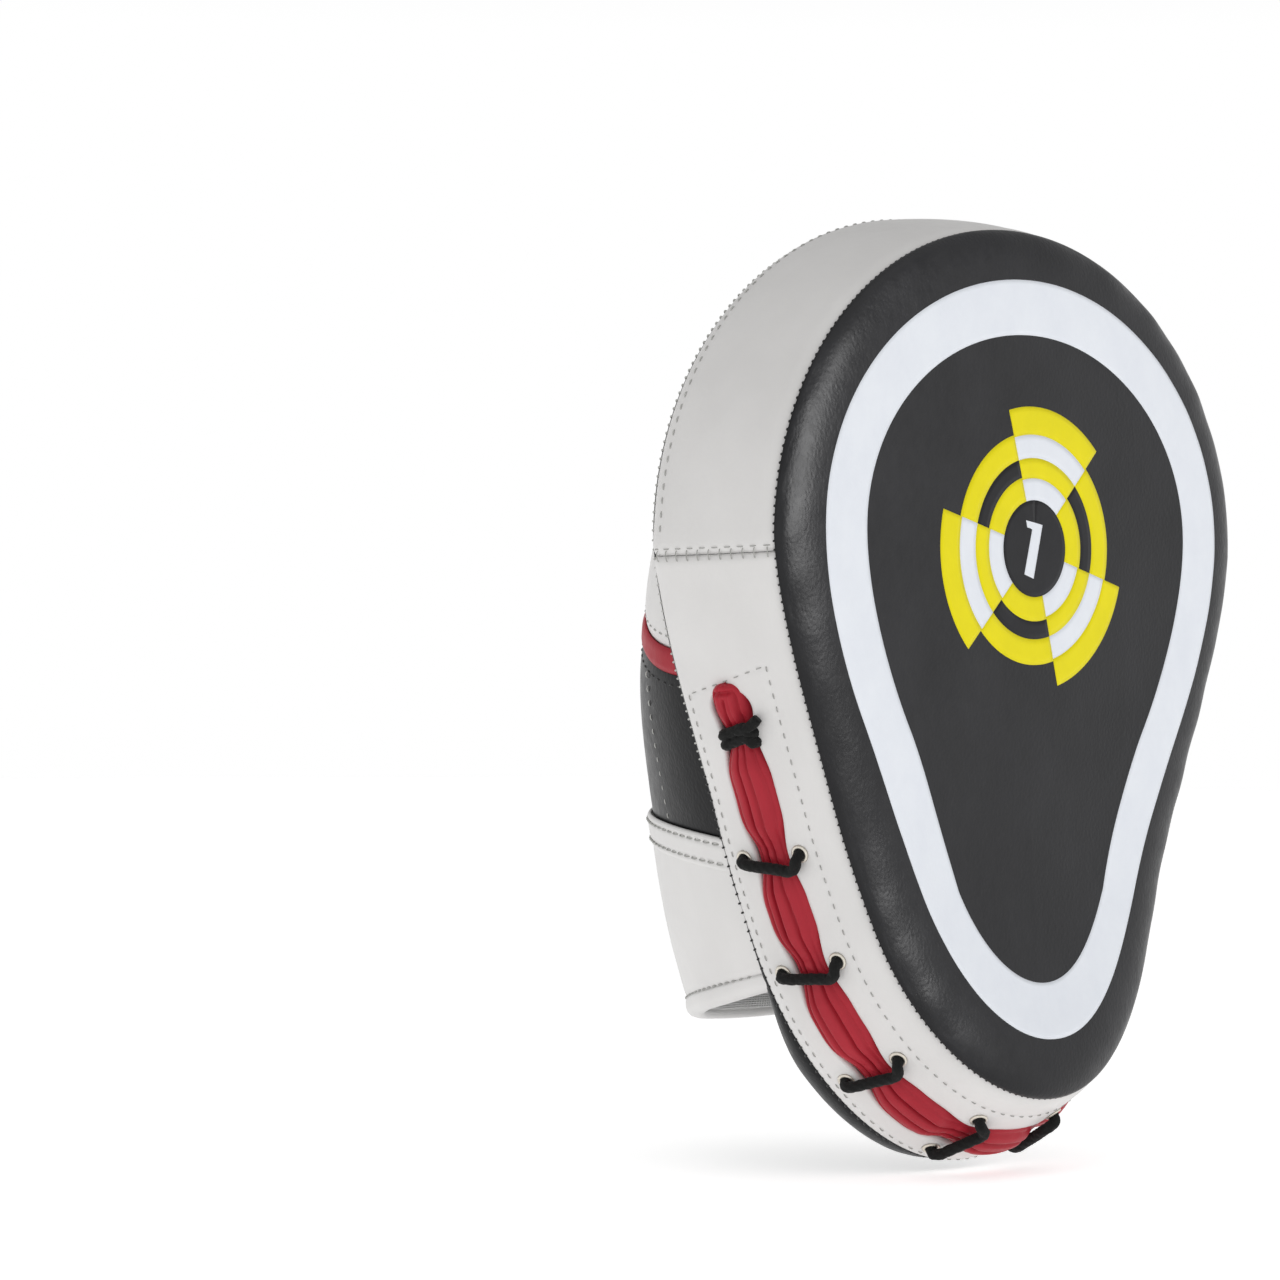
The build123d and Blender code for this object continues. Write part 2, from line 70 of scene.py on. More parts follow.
# ---------------------------------------------------------------------------------------------
# Sizes, in millimetres, in the frame of the CAD model: +Z up, the striking face looks along -Y,
# and Y = 0 is the palm side of the pad.  MM turns them into Blender's metres.
# ---------------------------------------------------------------------------------------------
MM = 0.001
HALF_WIDTH = 108.5
WIDEST_V = 27.0
TOP_V = 125.0
BOTTOM_V = -145.0
WALL = 47.0
KNEE = -52.0
BEND = 250.0
FLARE = 0.13
CROWN = 6.0
KAPPA = 0.5523

SLOT_DEPTH = 27.0
SLOT_END = 171.0           # distance of the slot's ends from the lowest point, along the wall
EYELET_OFFSET = 10.5
SINGLE_AT = (17.0, 51.0, 85.0, 118.0)
DOUBLE_AT = 155.0
DOUBLE_STEP = 3.5
DOUBLE_OFFSET = 5.0
DOUBLE_SHIFT = -1.2         # the double crossing's shift towards the face
LACE_R = 1.7

HOOD_STATIONS = (          # height, half width, and how far it stands off the pad
    (-130.0, 55.0, 69.5),
    (-88.0, 71.0, 74.0),
    (-50.0, 84.0, 74.0),
    (-8.0, 96.0, 67.0),
    (38.0, 97.0, 45.0),
    (78.0, 78.0, 21.0),
    (102.0, 50.0, 4.5),
)
HOOD_Z, HOOD_HALF, HOOD_RISE = zip(*HOOD_STATIONS)
CUFF_BOTTOM = (-109.0, -0.2)    # height at the pad, and rise per millimetre away from it
CUFF_TOP = (-64.0, 0.137)
CUFF_BAND_H = 11.0
CUFF_OUT = 1.4             # the cuff's skin is this far outside the hood's
HOOD_BOTTOM = -72.0
ARC_CENTRE_Z = -119.0
ARC_INNER = 140.5
ARC_WIDTH = 7.0

STRAP_Z = -87.0
STRAP_H = 36.0
ANCHOR_X = 54.0
STRAP_TIP_X = -28.0

TARGET_V = 26.0            # middle of the printed target
DISC_R = 15.0

SPANS = (
    ((0.0, TOP_V), (KAPPA * HALF_WIDTH, TOP_V), (HALF_WIDTH, WIDEST_V + KAPPA * (TOP_V - WIDEST_V)),
     (HALF_WIDTH, WIDEST_V)),
    ((HALF_WIDTH, WIDEST_V), (107.6, 13.0), (100.5, -7.0), (95.2, -20.0)),
    ((95.2, -20.0), (85.6, -43.3), (75.9, -66.7), (66.3, -90.0)),
    ((66.3, -90.0), (53.1, -122.0), (29.0, BOTTOM_V), (0.0, BOTTOM_V)),
)
BAND_OUTER = (
    ((0.0, 109.1), (51.6, 109.1), (93.4, 73.7), (93.4, 30.0)),
    ((93.4, 30.0), (93.4, 8.0), (83.5, -14.5), (75.1, -30.0)),
    ((75.1, -30.0), (66.2, -47.0), (58.5, -63.0), (51.2, -80.0)),
    ((51.2, -80.0), (42.5, -100.0), (26.0, -127.8), (0.0, -127.8)),
)
BAND_INNER = (
    ((0.0, 92.0), (42.0, 92.0), (76.1, 64.2), (76.1, 30.0)),
    ((76.1, 30.0), (76.1, 10.0), (65.8, -14.0), (56.2, -30.0)),
    ((56.2, -30.0), (49.0, -42.0), (40.0, -64.0), (34.7, -80.0)),
    ((34.7, -80.0), (28.5, -93.0), (17.0, -109.8), (0.0, -109.8)),
)


# ---------------------------------------------------------------------------------------------
# Curves and the pad's own coordinates
# ---------------------------------------------------------------------------------------------
def bezier(handles, count):
    """Points along one cubic Bezier span, both ends included."""
    t = np.linspace(0.0, 1.0, count)[:, None]
    p = np.array(handles, float)
    return (1 - t) ** 3 * p[0] + 3 * t * (1 - t) ** 2 * p[1] + 3 * t * t * (1 - t) * p[2] + t ** 3 * p[3]


def closed_outline(spans, count):
    """A symmetric outline from its right-hand spans, as evenly spaced points.

    It starts at the lowest point and runs up the right side, over the top and down the left.
    Returns the points, the outward directions, and the distance of each point from the start.
    """
    down = np.vstack([bezier(span, 80)[:-1] for span in spans] + [np.array([spans[-1][-1]])])
    right = down[::-1]
    left = down[1:] * (-1.0, 1.0)
    dense = np.vstack([right, left])
    steps = np.hypot(*np.diff(dense, axis=0).T)
    length = np.concatenate([[0.0], np.cumsum(steps)])
    at = np.linspace(0.0, length[-1], count, endpoint=False)
    points = np.column_stack([np.interp(at, length, dense[:, k]) for k in (0, 1)])
    along = np.roll(points, -1, axis=0) - np.roll(points, 1, axis=0)
    along /= np.hypot(*along.T)[:, None]
    outward = np.column_stack([along[:, 1], -along[:, 0]])
    return points, outward, at, length[-1]


def bend(across, along, depth):
    """Pad coordinates to the frame: across, distance along the curved face, depth behind its seam."""
    across, along, depth = np.broadcast_arrays(across, along, depth)
    angle = np.clip((KNEE - along) / BEND, 0.0, None)
    seam_z = np.where(along < KNEE, KNEE - BEND * np.sin(angle), along)
    y = -WALL - BEND * (1.0 - np.cos(angle)) + depth * np.cos(angle)
    return np.stack([across, y, seam_z - depth * np.sin(angle)], axis=-1)


def smooth_step(x):
    """0 below 0, 1 above 1, smooth between."""
    x = np.clip(x, 0.0, 1.0)
    return x * x * (3.0 - 2.0 * x)


def hermite(at, xs, ys):
    """Smooth curve through a few stations."""
    xs = np.asarray(xs, float)
    ys = np.asarray(ys, float)
    slope = np.gradient(ys, xs)
    at = np.asarray(at, float)
    k = np.clip(np.searchsorted(xs, at) - 1, 0, len(xs) - 2)
    h = xs[k + 1] - xs[k]
    t = (at - xs[k]) / h
    value = (2 * t ** 3 - 3 * t ** 2 + 1) * ys[k] + (t ** 3 - 2 * t ** 2 + t) * h * slope[k]
    return value + (3 * t ** 2 - 2 * t ** 3) * ys[k + 1] + (t ** 3 - t ** 2) * h * slope[k + 1]


def ripple(a, b, seed, scale):
    """Repeatable gentle noise between -1 and 1, a sum of a few waves."""
    rng = np.random.default_rng(seed)
    total = np.zeros(np.broadcast(a, b).shape)
    for _ in range(6):
        turn = rng.uniform(0.0, 2 * math.pi)
        size = rng.uniform(0.7, 1.9) / scale
        total = total + np.sin((a * math.cos(turn) + b * math.sin(turn)) * size + rng.uniform(0, 6.28))
    return total / 6.0 * 1.8


SEAM_COUNT = 840
SEAM, SEAM_OUT, SEAM_AT, SEAM_LENGTH = closed_outline(SPANS, SEAM_COUNT)


def folded(distances):
    """Signed distances from the lowest point, negative on the left, within half the seam's length."""
    return np.where(distances > SEAM_LENGTH / 2, distances - SEAM_LENGTH, distances)


def seam_lookup(distance):
    """Seam point and outward direction at signed distances from the lowest point."""
    at = np.mod(np.asarray(distance, float), SEAM_LENGTH)
    ring = np.append(SEAM_AT, SEAM_LENGTH)
    values = np.column_stack([SEAM, SEAM_OUT])
    values = np.vstack([values, values[:1]])
    found = np.stack([np.interp(at, ring, values[:, k]) for k in range(4)], axis=-1)
    out = found[..., 2:]
    return found[..., :2], out / np.linalg.norm(out, axis=-1, keepdims=True)


def wall_shape(distance, depth):
    """How far the wall's leather stands out of the straight flared wall."""
    share = np.clip(depth / WALL, 0.0, 1.0)
    front_roll = -2.6 * (1.0 - np.clip(depth / 7.0, 0, 1)) ** 2.2
    back_roll = -2.4 * (1.0 - np.clip((WALL - depth) / 6.0, 0, 1)) ** 2.0
    belly = 1.6 * np.sin(math.pi * share) ** 0.8
    waves = 0.28 * ripple(distance, depth * 2.2, 11, 26.0) * np.sin(math.pi * share)
    return front_roll + back_roll + belly + waves


def wall_surface(distance, depth, height=0.0):
    """Point of the wall's skin at a signed distance, a depth and a height over the skin."""
    distance, depth, height = np.broadcast_arrays(distance, depth, height)
    seam, out = seam_lookup(distance)
    grow = FLARE * depth + wall_shape(distance, depth) + wall_marks(distance, depth) + height
    return bend(seam[..., 0] + out[..., 0] * grow, seam[..., 1] + out[..., 1] * grow, depth)


FRONT_STITCH = 11.0        # depth of the stitched rectangle's long lines
BACK_STITCH = 42.0
RECT_END = 173.0           # distance of the rectangle's short lines, at their middle
RECT_SLANT = 0.25          # they run this much higher per millimetre towards the face
CROSS_SEAM_DROP = 5.5      # the cross seam is this much nearer the lowest point than the widest place
WIDEST_AT = float(SEAM_AT[np.argmax(SEAM[:, 0])]) - CROSS_SEAM_DROP


def wall_marks(distance, depth):
    """Creases of the wall: the cross seams, and the shallow channels along its stitch lines."""
    reach = np.abs(distance)
    cross = -1.1 * np.exp(-((reach - WIDEST_AT) / 1.3) ** 2)
    cross = cross + 0.7 * np.exp(-((reach - WIDEST_AT) / 6.0) ** 2)
    end_at = RECT_END + RECT_SLANT * ((FRONT_STITCH + BACK_STITCH) / 2 - depth)
    low = smooth_step((end_at + 1.0 - reach) / 1.5)
    lines = np.exp(-((depth - FRONT_STITCH) / 0.8) ** 2) + np.exp(-((depth - BACK_STITCH) / 0.8) ** 2)
    ends = np.exp(-((reach - end_at) / 0.8) ** 2)
    ends = ends * (depth > FRONT_STITCH) * (depth < BACK_STITCH)
    high = smooth_step((reach - WIDEST_AT - 4.0) / 3.0) * np.exp(-((depth - BACK_STITCH) / 0.8) ** 2)
    return cross - 0.25 * (low * lines + ends) - 0.25 * high


def seam_distance(points):
    """Distance from each point to the nearest point of the seam's outline."""
    result = np.empty(len(points))
    for start in range(0, len(points), 4000):
        part = points[start:start + 4000]
        gap = np.hypot(part[:, None, 0] - SEAM[None, :, 0], part[:, None, 1] - SEAM[None, :, 1])
        result[start:start + 4000] = gap.min(axis=1)
    return result


def face_height(points):
    """Height of the black face over its seam at pad points (across, along)."""
    far = seam_distance(points)
    roll = np.clip(far / 24.0, 0.0, 1.0)
    height = (CROWN + 1.2) * (1.0 - (1.0 - roll) ** 2.5) ** 0.62
    dome = 1.2 * smooth_step((far - 10.0) / 80.0)
    soft = 0.22 * ripple(points[:, 0], points[:, 1], 5, 34.0) * smooth_step(far / 12.0)
    pucker = 0.38 * ripple(points[:, 0] * 3.0, points[:, 1] * 3.0, 8, 14.0) * np.exp(-far / 7.0)
    return height - 1.2 + dome + soft + pucker * smooth_step(far / 1.5)


def back_height(points):
    """Height of the black palm side over the back seam at pad points (across, along)."""
    far = seam_distance(points)
    middle = smooth_step((-55.0 - points[:, 1]) / 30.0) * smooth_step((far - 15.0) / 10.0)
    low = np.maximum(smooth_step((-88.0 - points[:, 1]) / 32.0), 0.8 * middle)
    rise = 4.2 + 9.6 * low
    roll = np.clip(far / (12.0 - 1.5 * low), 0.0, 1.0)
    crease = 0.35 * ripple(points[:, 0], points[:, 1], 9, 22.0) * smooth_step(far / 10.0)
    return rise * (1.0 - (1.0 - roll) ** 2.2) ** 0.55 + crease


# ---------------------------------------------------------------------------------------------
# Materials
# ---------------------------------------------------------------------------------------------
class Shading:
    """A material with a Principled shader, and its texture nodes in object coordinates."""

    def __init__(self, name, roughness, metallic=0.0, sheen=0.0, specular=0.5, stretch=(1.0, 1.0, 1.0)):
        self.material = bpy.data.materials.new(name)
        self.material.use_nodes = True
        self.tree = self.material.node_tree
        self.shader = self.tree.nodes["Principled BSDF"]
        self.set("Roughness", roughness)
        self.set("Metallic", metallic)
        self.set("Specular IOR Level", specular)
        self.set("Sheen Weight", sheen)
        coordinates = self.tree.nodes.new("ShaderNodeTexCoord")
        mapping = self.tree.nodes.new("ShaderNodeMapping")
        mapping.inputs["Scale"].default_value = stretch
        self.join(coordinates.outputs["Object"], mapping.inputs["Vector"])
        self.place = mapping.outputs["Vector"]

    def set(self, socket, value):
        """Give a socket of the shader a uniform value."""
        self.shader.inputs[socket].default_value = value

    def join(self, output, socket):
        """Link an output to a socket, or to a socket of the shader by its name."""
        self.tree.links.new(output, self.shader.inputs[socket] if isinstance(socket, str) else socket)

    def texture(self, kind, size_mm, **values):
        """A texture node whose features are about size_mm across."""
        node = self.tree.nodes.new(kind)
        node.inputs["Scale"].default_value = 1.0 / (size_mm * MM)
        for socket, value in values.items():
            node.inputs[socket].default_value = value
        self.join(self.place, node.inputs["Vector"])
        return node

    def noise(self, size_mm, detail=2.0, roughness=0.5):
        return self.texture("ShaderNodeTexNoise", size_mm, Detail=detail, Roughness=roughness).outputs["Fac"]

    def cells(self, size_mm, feature="SMOOTH_F1"):
        node = self.texture("ShaderNodeTexVoronoi", size_mm)
        node.feature = feature
        return node.outputs["Distance"]

    def remap(self, value, low, high, from_low=0.3, from_high=0.7):
        """Stretch a texture's middle range to low..high."""
        return remap(self.tree, value, low, high, from_low, from_high)

    def colour(self, factor, colour_a, colour_b):
        """Blend two colours by a texture into the base colour."""
        node = self.tree.nodes.new("ShaderNodeMix")
        node.data_type = "RGBA"
        node.inputs["A"].default_value = (*colour_a, 1.0)
        node.inputs["B"].default_value = (*colour_b, 1.0)
        self.join(factor, node.inputs["Factor"])
        self.join(node.outputs["Result"], "Base Color")

    def add(self, a, b, weight_a, weight_b):
        """weight_a * a + weight_b * b."""
        first = self.tree.nodes.new("ShaderNodeMath")
        first.operation = "MULTIPLY"
        first.inputs[1].default_value = weight_a
        self.join(a, first.inputs[0])
        second = self.tree.nodes.new("ShaderNodeMath")
        second.operation = "MULTIPLY_ADD"
        second.inputs[1].default_value = weight_b
        self.join(b, second.inputs[0])
        self.join(first.outputs[0], second.inputs[2])
        return second.outputs[0]

    def bump(self, height, depth_mm, strength=1.0):
        """Raise and sink the surface by a texture of that depth."""
        node = self.tree.nodes.new("ShaderNodeBump")
        node.inputs["Distance"].default_value = depth_mm * MM
        node.inputs["Strength"].default_value = strength
        self.join(height, node.inputs["Height"])
        self.join(node.outputs["Normal"], "Normal")


def remap(tree, value, low, high, from_low, from_high):
    """A node that stretches from_low..from_high to low..high."""
    node = tree.nodes.new("ShaderNodeMapRange")
    ranges = {"From Min": from_low, "From Max": from_high, "To Min": low, "To Max": high}
    for socket, limit in ranges.items():
        node.inputs[socket].default_value = limit
    tree.links.new(value, node.inputs["Value"])
    return node.outputs["Result"]


GRAIN_STRETCH = (1.0, 1.0, 0.7)
WAVE_SCALE = 0.314         # scale at which the wave texture has one band in each unit of length


def leather(name, colour, shade, rough, grain_mm=0.95, grain_depth=0.10, specular=0.4):
    """Coated leather: fine pebbled grain, creases between the pebbles, mottled colour and gloss."""
    look = Shading(name, rough, specular=specular, stretch=GRAIN_STRETCH)
    grain = look.add(look.cells(grain_mm), look.noise(grain_mm * 0.6, 3.0, 0.6), 0.8, 0.5)
    look.bump(look.add(grain, look.noise(9.0), 1.0, 1.2), grain_depth, 0.8)
    look.colour(look.remap(look.noise(22.0, 4.0), 0.0, 1.0), colour, shade)
    look.join(look.remap(look.noise(3.0, 3.0), rough - 0.05, rough + 0.06), "Roughness")
    return look.material


def ink(name, colour, shade):
    """Screen-printed ink on grained leather: the grain shows through, with faint thin places."""
    look = Shading(name, 0.42, specular=0.15, stretch=GRAIN_STRETCH)
    look.bump(look.add(look.cells(0.95), look.noise(0.5, 3.0, 0.6), 0.6, 0.5), 0.06, 0.6)
    look.colour(look.remap(look.noise(14.0, 5.0, 0.7), 0.0, 1.0, 0.35, 0.75), colour, shade)
    return look.material


def woven(name, colour, shade, thread_mm):
    """Plain weave: two crossing sets of threads."""
    look = Shading(name, 0.85, sheen=0.2)
    waves = []
    for axis in ("X", "Z"):
        wave = look.texture("ShaderNodeTexWave", thread_mm / WAVE_SCALE, Distortion=0.6, Detail=1.0)
        wave.bands_direction = axis
        waves.append(wave.outputs["Fac"])
    weave = look.add(*waves, 0.5, 0.5)
    look.bump(weave, thread_mm * 0.35, 0.8)
    # Half of the colour follows the weave's bump: darker between the threads, which is painted shade; the
    # other half is the cloth's uneven tone from noise.
    tone_and_shade = look.add(weave, look.noise(1.5, 4.0, 0.7), 0.5, 0.5)
    look.colour(look.remap(tone_and_shade, 0.0, 1.0), shade, colour)
    return look.material


def fibrous(name, colour, shade, size_mm, rough=0.8, depth_mm=0.12, sheen=0.3):
    """Spun thread, braided cord, or the pile of a fastening tape."""
    look = Shading(name, rough, sheen=sheen, specular=0.2)
    strands = look.noise(size_mm, 6.0, 0.75)
    look.bump(strands, depth_mm, 0.9)
    # The colour follows the strands' bump: darker in the hollows between strands and lighter on their crests,
    # which is painted shade.
    look.colour(look.remap(strands, 0.0, 1.0), shade, colour)
    return look.material


def foam_material():
    """Closed-cell foam with fine pores."""
    look = Shading("foam", 0.9)
    look.bump(look.cells(1.1, "F1"), 0.35, 0.7)
    look.colour(look.remap(look.noise(6.0, 4.0), 0.0, 1.0), (0.10, 0.11, 0.13), (0.16, 0.17, 0.20))
    return look.material


def plated_metal():
    """Pale plated metal with fine scuffs."""
    look = Shading("plated_metal", 0.35, metallic=1.0)
    scuffs = look.noise(0.8, 5.0, 0.7)
    look.bump(scuffs, 0.03, 0.6)
    look.colour(scuffs, (0.78, 0.74, 0.66), (0.60, 0.56, 0.48))
    look.join(look.remap(scuffs, 0.25, 0.5), "Roughness")
    return look.material


MAT = {
    "black": leather("black_leather", (0.0068, 0.0068, 0.0075), (0.0095, 0.0095, 0.0105), 0.34,
                     specular=0.2),
    "white": leather("white_leather", (0.72, 0.71, 0.70), (0.68, 0.67, 0.66), 0.40, 0.8, 0.05, specular=0.3),
    "red": leather("red_leather", (0.40, 0.020, 0.034), (0.34, 0.015, 0.027), 0.44, 0.6, 0.05, specular=0.2),
    "ink_white": ink("white_ink", (0.84, 0.87, 0.92), (0.79, 0.82, 0.88)),
    "ink_yellow": ink("yellow_ink", (0.87, 0.76, 0.008), (0.80, 0.70, 0.008)),
    "ink_black": ink("black_ink", (0.022, 0.022, 0.024), (0.030, 0.030, 0.033)),
    "lining": woven("lining_weave", (0.74, 0.74, 0.73), (0.60, 0.60, 0.59), 0.7),
    "lace": fibrous("lace_cord", (0.013, 0.0135, 0.013), (0.003, 0.003, 0.003), 0.35, 0.85, 0.15, 0.05),
    "thread_white": fibrous("white_thread", (0.52, 0.52, 0.50), (0.36, 0.36, 0.34), 0.2, 0.7, 0.05),
    "thread_grey": fibrous("grey_thread", (0.46, 0.46, 0.44), (0.30, 0.30, 0.28), 0.2, 0.7, 0.05),
    "thread_black": fibrous("black_thread", (0.02, 0.02, 0.02), (0.008, 0.008, 0.008), 0.2, 0.7, 0.05),
    "hook_loop": fibrous("fastening_tape", (0.035, 0.035, 0.036), (0.008, 0.008, 0.008), 0.5, 0.95, 0.5),
    "foam": foam_material(),
    "metal": plated_metal(),
}


# ---------------------------------------------------------------------------------------------
# Mesh helpers
# ---------------------------------------------------------------------------------------------
def grid_faces(rows, cols, closed=False, start=0):
    """Quads of a grid of points stored row by row; closed joins the last column to the first."""
    r, c = np.meshgrid(np.arange(rows - 1), np.arange(cols if closed else cols - 1), indexing="ij")
    n = (c + 1) % cols
    quads = np.stack([r * cols + c, r * cols + n, (r + 1) * cols + n, (r + 1) * cols + c], axis=-1)
    return (quads.reshape(-1, 4) + start).tolist()


def capped_faces(rows, cols):
    """Faces of a tube of rows rings of cols points, both ends capped."""
    last = (rows - 1) * cols
    return grid_faces(rows, cols, closed=True) + [list(range(cols))[::-1], [last + i for i in range(cols)]]


def make_piece(name, points, faces, material, slot, body="mitt", replaces=(), flip=False):
    """A mesh piece, in the frame, that rides on a body."""
    mesh = bpy.data.meshes.new(name)
    if flip:
        faces = [face[::-1] for face in faces]
    mesh.from_pydata((np.asarray(points).reshape(-1, 3) * MM).tolist(), [], faces)
    mesh.polygons.foreach_set("use_smooth", [True] * len(mesh.polygons))
    mesh.materials.append(MAT[material])
    mesh.validate()
    piece = bpy.data.objects.new(name, mesh)
    bpy.context.scene.collection.objects.link(piece)
    if replaces:
        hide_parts(*replaces)
    if body:
        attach(piece, body)
    return piece


def face_outward(piece, direction=None):
    """Turn an open skin's faces to look along a direction, or away from its own middle."""
    mesh = piece.data
    centres = np.empty(len(mesh.polygons) * 3)
    normals = np.empty(len(mesh.polygons) * 3)
    mesh.polygons.foreach_get("center", centres)
    mesh.polygons.foreach_get("normal", normals)
    centres = centres.reshape(-1, 3)
    normals = normals.reshape(-1, 3)
    guide = np.asarray(direction) if direction is not None else centres - centres.mean(axis=0)
    if float((normals * guide).sum()) < 0.0:
        mesh.flip_normals()
    return piece


def thicken(piece, thickness_mm, direction=None):
    """Give an open skin its thickness, inwards from its outer side."""
    face_outward(piece, direction)
    solid = piece.modifiers.new("thickness", "SOLIDIFY")
    solid.thickness = thickness_mm * MM
    solid.offset = -1.0
    return piece


def merge_close(piece, distance_mm):
    """Join points that lie together."""
    mesh = bmesh.new()
    mesh.from_mesh(piece.data)
    bmesh.ops.remove_doubles(mesh, verts=mesh.verts, dist=distance_mm * MM)
    mesh.to_mesh(piece.data)
    mesh.free()


def rings_piece(name, rings, material, slot, **options):
    """A surface of closed rings of as many points; a ring of one point closes an end with a fan."""
    points = []
    faces = []
    starts = []
    for ring in rings:
        starts.append(sum(len(r) for r in points))
        points.append(np.asarray(ring, float).reshape(-1, 3))
    for k in range(len(rings) - 1):
        here, there = starts[k], starts[k + 1]
        count = max(len(points[k]), len(points[k + 1]))
        for i in range(count):
            j = (i + 1) % count
            if len(points[k + 1]) == 1:
                faces.append([here + i, here + j, there])
            elif len(points[k]) == 1:
                faces.append([here, there + j, there + i])
            else:
                faces.append([here + i, here + j, there + j, there + i])
    return make_piece(name, np.vstack(points), faces, material, slot, **options)


def frames_along(path):
    """Directions along a path and two square directions that don't twist."""
    along = np.gradient(path, axis=0)
    along /= np.linalg.norm(along, axis=1)[:, None]
    side = np.zeros_like(path)
    first = np.cross(along[0], (0.0, 0.0, 1.0))
    if np.linalg.norm(first) < 0.1:
        first = np.cross(along[0], (1.0, 0.0, 0.0))
    side[0] = first / np.linalg.norm(first)
    for k in range(1, len(path)):
        turned = side[k - 1] - along[k] * np.dot(side[k - 1], along[k])
        side[k] = turned / np.linalg.norm(turned)
    return along, side, np.cross(along, side)


def catmull(points, spacing):
    """A smooth curve through points, evenly spaced."""
    points = np.asarray(points, float)
    chords = np.linalg.norm(np.diff(points, axis=0), axis=1) ** 0.5
    knots = np.concatenate([[0.0], np.cumsum(chords)])
    slopes = np.gradient(points, knots, axis=0)
    dense = []
    for k in range(len(points) - 1):
        h = knots[k + 1] - knots[k]
        t = np.linspace(0.0, 1.0, 24, endpoint=False)[:, None]
        dense.append(
            (2 * t ** 3 - 3 * t ** 2 + 1) * points[k] + (t ** 3 - 2 * t ** 2 + t) * h * slopes[k]
            + (3 * t ** 2 - 2 * t ** 3) * points[k + 1] + (t ** 3 - t ** 2) * h * slopes[k + 1])
    dense.append(points[-1:])
    dense = np.vstack(dense)
    length = np.concatenate([[0.0], np.cumsum(np.linalg.norm(np.diff(dense, axis=0), axis=1))])
    at = np.linspace(0.0, length[-1], max(2, int(length[-1] / spacing)))
    return np.column_stack([np.interp(at, length, dense[:, k]) for k in range(3)])


def tube(path, radius, sides, shape):
    """Points and faces of a closed tube along a path; shape(length, angle) scales its radius."""
    along, side, other = frames_along(path)
    angle = np.linspace(0.0, 2 * math.pi, sides, endpoint=False)
    length = np.concatenate([[0.0], np.cumsum(np.linalg.norm(np.diff(path, axis=0), axis=1))])
    reach = radius * shape(length[:, None], angle[None, :])
    points = path[:, None, :] + side[:, None, :] * (np.cos(angle) * reach)[:, :, None]
    points = points + other[:, None, :] * (np.sin(angle) * reach)[:, :, None]
    return points.reshape(-1, 3), capped_faces(len(path), sides)


def stitches(name, starts, ends, normals, material, slot, radius, arch):
    """Thread stitches: each rises out of its hole, lies on the surface and goes back in."""
    starts, ends, normals = (np.asarray(a, float) for a in (starts, ends, normals))
    sections, sides = 7, 6
    t = np.linspace(0.0, 1.0, sections)
    lift = arch * (np.sin(math.pi * t) ** 0.5) - 0.55 * (1.0 - np.sin(math.pi * t) ** 0.35)
    middle = starts[:, None] + (ends - starts)[:, None] * t[None, :, None]
    middle = middle + normals[:, None] * lift[None, :, None]
    along = (ends - starts) / np.linalg.norm(ends - starts, axis=1)[:, None]
    across = np.cross(along, normals)
    across /= np.linalg.norm(across, axis=1)[:, None]
    angle = np.linspace(0.0, 2 * math.pi, sides, endpoint=False)
    thick = radius * (0.55 + 0.45 * np.sin(math.pi * np.clip(t, 0.04, 0.96)) ** 0.5)
    ring = across[:, None, None] * np.cos(angle)[None, None, :, None]
    ring = ring + normals[:, None, None] * np.sin(angle)[None, None, :, None]
    points = middle[:, :, None] + ring * thick[None, :, None, None]
    one = capped_faces(sections, sides)
    size = sections * sides
    faces = [[v + k * size for v in face] for k in range(len(starts)) for face in one]
    return make_piece(name, points.reshape(-1, 3), faces, material, slot)


def run_of_stitches(path, normal_at, length, gap):
    """Starts, ends and normals of stitches laid along a path of points."""
    steps = np.concatenate([[0.0], np.cumsum(np.linalg.norm(np.diff(path, axis=0), axis=1))])
    count = max(1, int((steps[-1] + gap) // (length + gap)))
    pitch = (steps[-1] + gap) / count
    low = np.arange(count) * pitch
    high = low + pitch - gap

    def at(distance):
        return np.column_stack([np.interp(distance, steps, path[:, k]) for k in range(3)])

    def normal(distance):
        found = np.column_stack([np.interp(distance, steps, normal_at[:, k]) for k in range(3)])
        return found / np.linalg.norm(found, axis=1)[:, None]

    return at(low), at(high), normal((low + high) / 2)


def wall_normal(distance, depth):
    """Outward direction of the wall's skin."""
    a = wall_surface(distance + 0.4, depth) - wall_surface(distance - 0.4, depth)
    b = wall_surface(distance, depth + 0.4) - wall_surface(distance, depth - 0.4)
    n = np.cross(a, b)
    n /= np.linalg.norm(n, axis=-1, keepdims=True)
    seam, out = seam_lookup(distance)
    guide = bend(seam[..., 0] + out[..., 0], seam[..., 1] + out[..., 1], depth)
    guide = guide - bend(seam[..., 0], seam[..., 1], depth)
    return n * np.sign((n * guide).sum(axis=-1, keepdims=True))


# ---------------------------------------------------------------------------------------------
# Camera, floor and light
# ---------------------------------------------------------------------------------------------
CAMERA_AT = (-1.0125, -0.8946, -0.0266)
CAMERA_AXES = (            # right, up and back
    (0.70684, -0.70730, 0.01042),
    (-0.01982, -0.00508, 0.99979),
    (-0.70709, -0.70690, -0.01761),
)
LENS_MM = 119.2


def add_camera():
    """The camera at the photograph's angle and framing."""
    data = bpy.data.cameras.new("camera")
    data.sensor_width = 36.0
    data.lens = LENS_MM
    data.clip_start = 0.05
    camera = bpy.data.objects.new("camera", data)
    right, up, back = (Vector(v) for v in CAMERA_AXES)
    camera.matrix_world = Matrix((
        (right.x, up.x, back.x, CAMERA_AT[0]),
        (right.y, up.y, back.y, CAMERA_AT[1]),
        (right.z, up.z, back.z, CAMERA_AT[2]),
        (0.0, 0.0, 0.0, 1.0),
    ))
    bpy.context.scene.collection.objects.link(camera)
    bpy.context.scene.camera = camera


